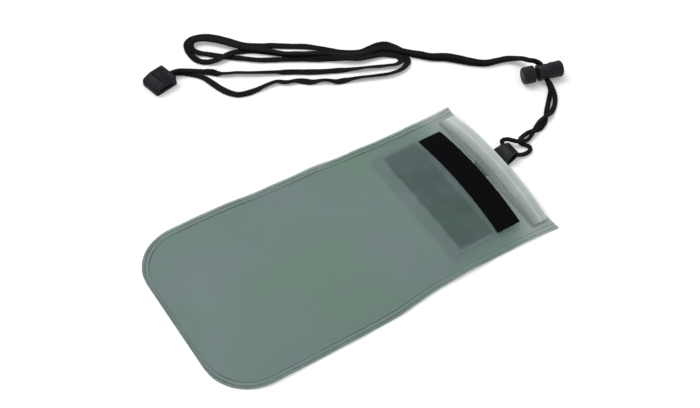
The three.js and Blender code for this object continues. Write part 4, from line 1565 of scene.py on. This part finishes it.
@dataclass
class NeckCord:
    """The flat braided cord, as its two halves."""

    first: Sequence[tuple[float, ...]] = (
        (-3.8, 101.8, 2.0), (-2.3, 104.0, 1.9), (-0.7, 105.9, 1.7), (0.3, 108.5, 1.4), (0.4, 111.4, 1.2),
        (-0.4, 114.0, 1.1), (-2.4, 115.1, 1.1), (-4.4, 114.4, 1.1), (-5.8, 113.2, 1.1), (-8.2, 112.7, 1.1),
        (-9.9, 114.2, 1.1), (-10.9, 117.0, 1.1), (-11.4, 120.2, 1.0), (-10.8, 123.7, 1.0),
        (-10.5, 128.4, 1.0), (-12.7, 133.0, 1.0), (-15.9, 136.4, 1.0), (-19.6, 139.8, 1.0),
        (-23.6, 143.8, 1.0), (-27.8, 148.0, 1.0), (-31.9, 151.4, 1.0), (-36.3, 153.4, 1.1),
        (-39.6, 154.2, 1.9), (-43.0, 154.4, 4.3), (-46.4, 154.4, 7.2), (-49.8, 153.0, 7.6),
        (-53.9, 151.4, 5.9), (-58.1, 150.7, 3.9), (-62.0, 148.6, 1.9), (-64.8, 145.0, 0.9), (-66.5, 139.1),
        (-68.4, 132.3), (-73.0, 125.8), (-84.0, 115.2), (-89.8, 107.2), (-93.9, 103.6), (-98.3, 100.3),
        (-103.7, 97.6), (-109.5, 95.0), (-113.6, 92.1), (-115.2, 88.2), (-115.4, 83.5), (-115.6, 77.4),
        (-117.9, 71.9), (-121.4, 66.6), (-126.0, 61.8), (-131.4, 56.9), (-136.2, 51.6), (-142.5, 42.3),
        (-147.7, 34.6), (-152.2, 27.6), (-156.4, 22.0), (-161.4, 18.0), (-166.3, 14.7), (-170.7, 11.1),
        (-174.1, 7.3), (-176.7, 3.0), (-177.7, -1.8), (-175.9, -6.1), (-171.0, -8.3), (-164.5, -8.7),
        (-158.8, -7.0), (-155.4, -3.3, 1.0), (-153.3, 1.3, 2.0), (-153.3, 7.0, 2.5), (-153.5, 13.0, 1.8),
        (-152.4, 18.4, 0.9), (-150.0, 23.0), (-146.5, 27.8), (-142.4, 32.1), (-137.1, 37.8),
        (-130.2, 46.6, 0.9), (-124.1, 53.9, 1.4), (-118.6, 60.0, 2.1), (-114.0, 66.1, 2.3),
        (-110.0, 72.5, 2.3), (-108.3, 78.9, 1.9), (-106.6, 85.5, 1.3), (-104.2, 89.5, 0.9), (-101.3, 92.7),
        (-97.2, 93.0), (-95.5, 89.1), (-97.3, 83.6), (-100.7, 76.2), (-104.5, 67.5), (-109.5, 57.1),
        (-115.7, 45.1), (-122.6, 34.0), (-128.9, 23.0), (-134.6, 12.9), (-138.7, 6.5), (-141.2, 1.4),
        (-144.3, -3.4, 1.0), (-147.2, -6.8, 0.9), (-150.3, -10.0, 1.0), (-152.6, -13.9, 1.7),
        (-154.3, -18.1, 2.8), (-155.7, -21.8, 3.6), (-156.2, -26.3, 3.9), (-156.0, -29.0, 3.9),
        (-154.8, -34.9, 3.9),
    )
    second: Sequence[tuple[float, ...]] = (
        (-4.2, 101.8, 2.0), (-7.6, 103.5, 2.0), (-11.0, 103.0, 2.1), (-13.3, 104.2, 2.5),
        (-12.4, 106.6, 3.1), (-10.0, 108.3, 3.6), (-7.8, 110.2, 3.5), (-6.9, 112.8, 3.0),
        (-6.9, 115.6, 1.9), (-7.4, 118.2, 1.3), (-8.4, 120.6, 1.7), (-9.9, 123.6, 2.7), (-12.4, 127.6, 1.9),
        (-14.4, 131.4, 1.9), (-15.1, 135.2, 2.8), (-16.6, 140.4, 1.8), (-20.4, 145.8, 1.1),
        (-25.2, 149.8, 1.3), (-29.8, 152.0, 2.2), (-34.0, 153.2, 2.9), (-37.9, 153.9, 3.1),
        (-41.8, 154.0, 5.7), (-45.5, 154.2, 8.7), (-48.9, 152.4, 9.5), (-52.6, 151.0, 7.9),
        (-57.0, 150.1, 5.9), (-61.2, 147.8, 3.8), (-64.4, 144.6, 2.7), (-66.3, 138.8, 2.5),
        (-68.6, 132.0, 2.5), (-74.0, 126.0, 2.6), (-84.6, 116.2, 2.7), (-90.1, 108.0, 2.6),
        (-94.1, 104.4, 2.6), (-97.6, 100.4, 2.6), (-101.4, 97.3, 2.4), (-105.2, 94.3, 2.2),
        (-108.7, 91.0, 2.1), (-110.9, 86.9, 2.1), (-111.8, 81.2, 2.2), (-112.7, 74.9, 2.3),
        (-115.4, 69.0, 2.3), (-119.3, 63.2, 2.3), (-123.5, 58.2, 2.3), (-127.5, 52.5, 2.3),
        (-132.0, 45.0, 2.3), (-136.1, 38.5, 2.3), (-139.6, 34.6, 2.3), (-143.6, 30.9, 2.3),
        (-147.0, 27.1, 2.3), (-150.3, 23.3, 2.3), (-153.6, 19.5, 2.4), (-157.7, 16.1, 2.5),
        (-162.3, 12.6, 2.6), (-166.4, 9.2, 2.7), (-170.1, 5.6, 2.7), (-172.7, 1.7, 2.7),
        (-173.8, -2.2, 2.7), (-172.2, -5.6, 2.6), (-168.6, -6.6, 2.0), (-164.8, -4.3, 1.2), (-161.2, -0.1),
        (-156.5, 4.6), (-152.9, 8.6), (-149.9, 12.3), (-146.6, 16.4), (-143.1, 20.4), (-140.3, 24.2),
        (-136.8, 30.2), (-132.5, 37.8), (-127.9, 45.2), (-122.8, 53.0), (-118.9, 60.2), (-115.8, 67.1),
        (-112.9, 74.3), (-111.3, 80.9), (-109.8, 86.8), (-107.3, 91.5), (-103.7, 94.8), (-99.0, 96.3),
        (-94.4, 95.3), (-90.9, 90.1), (-90.8, 82.5), (-94.0, 73.2), (-98.0, 63.7), (-100.2, 57.4),
        (-101.9, 52.4), (-106.5, 46.5), (-110.1, 38.6), (-114.6, 33.3), (-116.9, 27.3), (-120.3, 22.6),
        (-121.0, 17.6), (-121.0, 10.4), (-121.4, 4.0), (-123.3, -1.4), (-127.2, -5.0), (-132.9, -7.7),
        (-139.7, -9.5), (-145.0, -11.2), (-149.1, -13.9), (-152.4, -17.4, 0.9), (-154.8, -20.9, 1.4),
        (-156.1, -26.3, 2.1), (-155.9, -29.0, 2.1), (-154.7, -34.9, 2.1),
    )

    def build(self, carried: Sequence[bpy.types.Object]) -> list[bpy.types.Object]:
        """Makes both halves.

        Args:
            carried: The pieces that hang on the cord.

        Returns:
            The two strands.
        """
        braid = BraidFinish("black_braid", (0.0035, 0.0035, 0.0042), (0.012, 0.012, 0.0135)).build()
        near = ((0, 2.5), (30, 2.5), (40, 2.9), (64, 2.9), (74, 2.4), (95, 2.4), (108, 3.1), (125, 3.4))
        one_ends = ((150, 3.8), (570, 3.8), (581, 2.7), (592, 2.6))
        two_ends = ((150, 3.8), (562, 3.8), (580, 2.7), (596, 2.6))
        one_turns = (
            (0, 0), (28, 0), (34, 45), (42, -10), (50, 30), (58, -25), (66, 20), (76, 0), (100, 0),
            (130, 8), (240, -8), (300, 0), (440, 0), (449, 16), (455, 26), (478, 27), (487, 2), (519, -4),
            (526, 23), (555, 25), (558, -8), (561, -44), (564, -38), (568, 0), (592, 0),
        )
        two_turns = (
            (0, 0), (22, 0), (30, -40), (38, 20), (47, -30), (56, 28), (66, -14), (76, 0), (98, 0),
            (130, -8), (200, 8), (240, 10), (290, 0), (432, 0), (446, 25), (470, 26), (477, 16), (482, -10),
            (488, 16), (495, 20), (503, -14), (511, 17), (517, 14), (522, 29), (528, 24), (535, 0),
            (546, -12), (565, -8), (580, 0), (596, 0),
        )
        one = Strand("neck_cord_a", "lanyard_a", self.first, (*near, *one_ends), one_turns, 594.0, 2.0)
        two = Strand("neck_cord_b", "lanyard_b", self.second, (*near, *two_ends), two_turns, 597.0, 9.0)
        return [one.build(braid, carried), two.build(braid, carried)]


@dataclass
class CordLock:
    """The cord lock: a barrel, a sprung plunger and its spring. Its axis is the local Y axis."""

    place: Point = (-42.4, 154.2, 5.0)
    turn: float = -15.7
    barrel_radius: float = 4.8
    wall: float = 1.7
    mouth: float = -3.6
    end: float = 11.3
    bore_end: float = 9.6
    stem_radius: float = 2.8
    button_radius: float = 5.0
    button_face: float = -6.1
    button_length: float = 7.0
    stem_end: float = 3.6
    hole_height: float = 4.2
    hole_turn: float = 40.0
    hole_corner: float = 0.8
    hole: tuple[float, float] = (-2.0, 4.2)
    slot: tuple[float, float] = (-4.2, 2.0)
    bands: Sequence[tuple[float, float]] = ((6.2, 6.6), (8.4, 8.8))
    band_size: float = 0.965
    rounding: float = 1.7
    collar: float = 0.5
    travel: float = 2.0
    wire: float = 0.25
    coil_radius: float = 2.2
    coil_turns: float = 4.5
    coil_start: float = 4.15
    coil_end: float = 9.35
    coil_steps: int = 24

    def build(self) -> list[bpy.types.Object]:
        """Makes the lock.

        Returns:
            Its pieces.
        """
        plastic = MouldedFinish("lock_plastic", (0.0088, 0.0083, 0.0115)).build()
        knob = MouldedFinish("button_plastic", (0.0086, 0.0086, 0.0095), 0.5).build()
        barrel = self.barrel()
        plunger = self.plunger()
        spring = self.spring()
        Bench.hand_over(barrel, plastic, ["lock_barrel"])
        Bench.hand_over(plunger, knob, ["lock_plunger"], Body.PLUNGER)
        wire = WireFinish("spring_wire", (0.55, 0.56, 0.58)).build()
        Bench.hand_over(spring, wire, ["lock_spring"])
        anchor = self.matrix() @ Vector((0.0, self.bore_end * MM, 0.0))
        axis = self.matrix().to_3x3() @ Vector((0.0, 1.0, 0.0))
        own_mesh(spring)
        return [barrel, plunger, spring]

    def matrix(self) -> Matrix:
        """The lock's place in the shared frame, in metres."""
        turned = Matrix.Rotation(math.radians(self.turn), 4, "Z")
        return Matrix.Translation(Vector(self.place) * MM) @ turned

    def rod(self, name: str, radius: float, start: float, end: float, sides: int = 56) -> bpy.types.Object:
        """Adds a cylinder along the lock's axis.

        Args:
            name: Its name.
            radius: Its radius.
            start: Its lower end along the axis.
            end: Its upper end.
            sides: How many sides it has.

        Returns:
            The cylinder.
        """
        return Bench.primitive(
            bpy.ops.mesh.primitive_cylinder_add,
            name,
            vertices=sides,
            radius=radius * MM,
            depth=(end - start) * MM,
            location=(0, (start + end) / 2 * MM, 0),
            rotation=(math.pi / 2, 0, 0),
        )

    def cross_cutter(self, span: tuple[float, float]) -> bpy.types.Object:
        """Makes the cutter for the cord's hole.

        Args:
            span: Where the hole starts and ends along the axis.

        Returns:
            The cutter.
        """
        sizes = (30, span[1] - span[0], self.hole_height)
        cutter = Bench.box("cord_hole", (0, (span[0] + span[1]) / 2, 0), sizes)
        Bench.round_edges(cutter, lambda a, b: abs(a.x - b.x) > 10, self.hole_corner, 4)
        Bench.close()
        Bench.place(cutter, Matrix.Rotation(math.radians(self.hole_turn), 4, "Y"))
        return cutter

    def barrel(self) -> bpy.types.Object:
        """Models the barrel: bore, rounded end, rim and moulded bands."""
        barrel = self.rod("lock_body", self.barrel_radius, self.mouth, self.end)
        Bench.round_edges(barrel, lambda a, b: min(a.y, b.y) > self.end - 0.1, self.rounding)
        Bench.edit(barrel)
        Bench.pick_faces(barrel, lambda middle, normal: normal.y < -0.9)
        bpy.ops.mesh.inset(thickness=self.wall * MM)
        Bench.draw_out(0, self.bore_end - self.mouth, 0)
        for band in self.bands:
            for y in band:
                Bench.slice(1, y)
        Bench.pick_faces(barrel, self.in_band)
        bpy.ops.transform.resize(value=(self.band_size, 1, self.band_size), center_override=(0, 0, 0))
        Bench.close()
        return self.finished(barrel, self.hole, 0.22)

    def finished(self, rod: bpy.types.Object, hole: tuple[float, float], edge: float) -> bpy.types.Object:
        """Cuts the cord's hole through a rod, softens its edges and puts it in its place.

        Args:
            rod: The barrel or the plunger.
            hole: Where its hole starts and ends along the axis.
            edge: How wide its soft edges are.

        Returns:
            The rod.
        """
        Bench.cut(rod, self.cross_cutter(hole))
        Bench.soften(rod, edge, 40)
        Bench.place(rod, self.matrix())
        Bench.smooth(rod, 40.0)
        return rod

    def in_band(self, middle: Vector, normal: Vector) -> bool:
        """Whether a face is in one of the barrel's two shallow bands."""
        outer = math.hypot(middle.x, middle.z) > self.barrel_radius - 0.4
        return outer and any(start < middle.y < end for start, end in self.bands)

    def plunger(self) -> bpy.types.Object:
        """Models the plunger: a rounded button, its collar and its slotted stem."""
        back = self.button_face - self.button_length
        plunger = self.rod("lock_button", self.button_radius, back, self.button_face)
        Bench.round_edges(plunger, lambda a, b: max(a.y, b.y) < back + 0.1, self.rounding)
        Bench.edit(plunger)
        Bench.pick_faces(plunger, lambda middle, normal: normal.y > 0.9)
        bpy.ops.mesh.inset(thickness=self.collar * MM)
        bpy.ops.mesh.inset(thickness=(self.button_radius - self.stem_radius - self.collar) * MM)
        Bench.draw_out(0, self.stem_end - self.button_face, 0)
        Bench.close()
        return self.finished(plunger, self.slot, 0.25)

    def spring(self) -> bpy.types.Object:
        """Models the coil spring between the stem and the barrel's end."""
        start = self.coil_start * MM
        spring = Bench.primitive(
            bpy.ops.mesh.primitive_circle_add,
            "lock_coil",
            vertices=8,
            radius=self.wire * MM,
            fill_type="NGON",
            location=(self.coil_radius * MM, start, 0),
        )
        Bench.edit(spring)
        bpy.ops.mesh.select_all(action="SELECT")
        bpy.ops.mesh.spin(
            steps=int(self.coil_turns * self.coil_steps),
            angle=self.coil_turns * 2 * math.pi,
            center=(0, start, 0),
            axis=(0, 1, 0),
        )
        Bench.close()
        return self.lift_coil(spring)

    def lift_coil(self, spring: bpy.types.Object) -> bpy.types.Object:
        """Draws the flat coil out along the axis.

        Args:
            spring: The coil, all its turns in one place.

        Returns:
            The spring.
        """
        rings = int(self.coil_turns * self.coil_steps) + 1
        sides = len(spring.data.vertices) // rings
        for index, vertex in enumerate(spring.data.vertices):
            ring = min(index // max(sides, 1), rings - 1)
            vertex.co.y += (self.coil_end - self.coil_start) * MM * ring / (rings - 1)
        Bench.place(spring, self.matrix())
        Bench.edit(spring)
        bpy.ops.mesh.select_all(action="SELECT")
        bpy.ops.mesh.normals_make_consistent(inside=False)
        Bench.close()
        Bench.smooth(spring, 50.0)
        return spring


@dataclass
class EndClip:
    """The snap-shut clip on the cord's ends, with the cord along its local Y axis."""

    place: Point = (-154.9, -34.9, 0.0)
    turn: float = 12.0
    width: float = 13.8
    length: float = 15.0
    height: float = 6.0
    cord_corner: float = 1.2
    far_corner: float = 1.5
    edge: float = 0.5
    gap: float = 0.3
    slope_start: float = -1.5
    slope: float = 19.0
    channel: tuple[float, float] = (4.0, 3.5)
    channel_depth: float = 8.5
    grip: tuple[float, float] = (8.6, 6.4)
    grip_depth: float = 0.65
    ribs: int = 4
    snap_groove: Point = (2.4, 8.6, 1.5)

    def build(self) -> list[bpy.types.Object]:
        """Makes both halves.

        Returns:
            The lower and the upper half.
        """
        plastic = MouldedFinish("clip_plastic", (0.0036, 0.005, 0.007), 0.44, 0.1).build()
        lower = self.half("clip_lower", False)
        upper = self.half("clip_upper", True)
        Bench.hand_over(lower, plastic, ["clip_base"])
        Bench.hand_over(upper, plastic, ["clip_cover"])
        return [lower, upper]

    def half(self, name: str, upper: bool) -> bpy.types.Object:
        """Models one half, with its share of the cord's channel.

        Args:
            name: The half's name.
            upper: Whether it is the upper half, which has the grip.

        Returns:
            The half.
        """
        thick = (self.height - self.gap) / 2
        low = self.height - thick if upper else 0.0
        half = Bench.box(name, (0, 0, low + thick / 2), (self.width, self.length, thick))
        for way, radius in ((1, self.cord_corner), (-1, self.far_corner)):
            end = self.length / 2 - 0.1
            Bench.round_edges(half, lambda a, b: abs(a.z - b.z) > 1 and a.y * way > end, radius)
        if upper:
            self.slope_top(half)
        Bench.round_edges(
            half, lambda a, b: self.on_rim(a, upper) and self.on_rim(b, upper), self.edge, 4
        )
        if upper:
            self.sink_grip(half)
        Bench.close()
        Bench.cut(half, self.channel_cutter())
        for side in (-1, 1):
            Bench.cut(half, self.side_cutter(side))
        Bench.soften(half, 0.07, 50)
        turned = Matrix.Rotation(math.radians(self.turn), 4, "Z")
        Bench.place(half, Matrix.Translation(Vector(self.place) * MM) @ turned)
        Bench.smooth(half, 35.0)
        return half

    def on_rim(self, point: Vector, upper: bool) -> bool:
        """Whether a point lies on the rim of a half's outer face.

        Args:
            point: The point in millimetres.
            upper: Whether it is the upper half.

        Returns:
            True on the rim.
        """
        if not upper:
            return point.z < 0.05
        on_side = abs(point.x) > self.width / 2 - 3.3 or abs(point.y) > self.length / 2 - 3.3
        return on_side and point.z > (self.height + self.gap) / 2 + 0.4

    def slope_top(self, half: bpy.types.Object) -> None:
        """Slopes the top down to the end that has no cord.

        Args:
            half: The upper half.
        """
        Bench.edit(half)
        Bench.slice(1, self.slope_start)
        Bench.pick_faces(half, lambda middle, normal: normal.z > 0.9 and middle.y < self.slope_start)
        bpy.ops.transform.rotate(
            value=math.radians(-self.slope),
            orient_axis="X",
            center_override=(0, self.slope_start * MM, self.height * MM),
        )

    def sink_grip(self, half: bpy.types.Object) -> None:
        """Sinks the grooves of the grip into the top and leaves its ribs standing.

        Args:
            half: The upper half, open in edit mode.
        """
        bottom = self.slope_start + 0.1
        pitch = self.grip[1] / (2 * self.ribs + 1)
        for x in (-self.grip[0] / 2, self.grip[0] / 2):
            Bench.slice(0, x)
        for step in range(2 * self.ribs + 2):
            Bench.slice(1, bottom + pitch * step)

        def in_groove(middle: Vector, normal: Vector) -> bool:
            """Whether a face of the top lies between two ribs."""
            inside = abs(middle.x) < self.grip[0] / 2 and bottom < middle.y < bottom + self.grip[1]
            return normal.z > 0.9 and inside and int((middle.y - bottom) / pitch) % 2 == 0

        Bench.pick_faces(half, in_groove)
        Bench.draw_out(0, 0, -self.grip_depth)

    def channel_cutter(self) -> bpy.types.Object:
        """Makes the cutter for the cord's channel."""
        depth = self.channel_depth + 2
        middle = (0, self.length / 2 + 2 - depth / 2, self.height / 2)
        return Bench.box("channel", middle, (self.channel[0], depth, self.channel[1]))

    def side_cutter(self, side: int) -> bpy.types.Object:
        """Makes the cutter for the snap groove in a side, 1 or -1."""
        return Bench.box("snap_groove", (side * self.width / 2, -0.6, self.height / 2), self.snap_groove)


@dataclass
class Studio:
    """Camera, lights and floor."""

    camera_place: Point = (417.0, -265.0, 614.0)
    heading: float = 57.9
    pitch: float = 49.9
    lens: float = 77.14
    sensor: float = 36.0
    sky: float = 0.72
    key: float = 1.4
    key_spread: float = 36.0
    key_way: Point = (0.46, 0.16, -0.87)

    def build(self) -> None:
        """Sets up the whole stage."""
        self.camera()
        self.lights()
        self.floor()
        bpy.context.scene.view_settings.view_transform = "Standard"

    def camera(self) -> None:
        """Stands the camera at the photograph's viewing angle."""
        data = bpy.data.cameras.new("camera")
        data.lens = self.lens
        data.sensor_width = self.sensor
        data.clip_start = 0.01
        data.clip_end = 20.0
        camera = Bench.link("camera", data)
        camera.location = Vector(self.camera_place) * MM
        camera.rotation_euler = (math.radians(90 - self.pitch), 0.0, math.radians(self.heading))
        bpy.context.scene.camera = camera

    def lights(self) -> None:
        """Lights the object with a pale sky and one soft lamp from the far left."""
        world = bpy.data.worlds.new("studio")
        world.use_nodes = True
        nodes = Nodes(world.node_tree)
        back = world.node_tree.nodes["Background"]
        path = nodes.add("ShaderNodeLightPath")
        seen = nodes.sum("MAXIMUM", path.outputs["Is Camera Ray"], path.outputs["Is Transmission Ray"])
        strength = nodes.ramp(seen, 0.0, 1.0, self.sky, 1.0)
        back.inputs["Color"].default_value = (1.0, 1.0, 1.0, 1.0)
        nodes.feed(back.inputs["Strength"], strength)
        bpy.context.scene.world = world
        lamp = bpy.data.lights.new("key", "SUN")
        lamp.energy = self.key
        lamp.angle = math.radians(self.key_spread)
        key = Bench.link("key", lamp)
        key.rotation_euler = Vector(self.key_way).to_track_quat("-Z", "Y").to_euler()

    def floor(self) -> None:
        """Lays the white floor."""
        under = (0, 0, -0.00002)
        floor = Bench.primitive(bpy.ops.mesh.primitive_plane_add, "floor", size=8.0, location=under)
        floor.data.materials.append(FloorFinish("white_floor", (0.86, 0.86, 0.865), 0.16).build())


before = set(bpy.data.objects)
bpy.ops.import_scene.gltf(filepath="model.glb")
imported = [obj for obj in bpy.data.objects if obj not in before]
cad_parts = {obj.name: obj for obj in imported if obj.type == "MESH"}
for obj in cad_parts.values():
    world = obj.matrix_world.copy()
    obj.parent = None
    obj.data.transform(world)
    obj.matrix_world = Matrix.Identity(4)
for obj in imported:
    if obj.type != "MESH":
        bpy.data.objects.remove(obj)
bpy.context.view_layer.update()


def main() -> None:
    """Builds the pouch and its stage, and reports each piece."""
    logging.basicConfig(level=logging.INFO, format="%(name)s %(message)s")
    Studio().build()
    form = PouchForm()
    fittings = CordLock().build() + EndClip().build()
    made = fittings + NeckCord().build(fittings)
    made += Films(form).build()
    made += PressSeal(form).build()
    made.append(HookStrip(form).build())
    made += LoopPatch().build()
    made.append(HangingTab().build())
    for piece in made:
        LOG.info("made %s", piece.name)


if __name__ == "__main__":
    main()
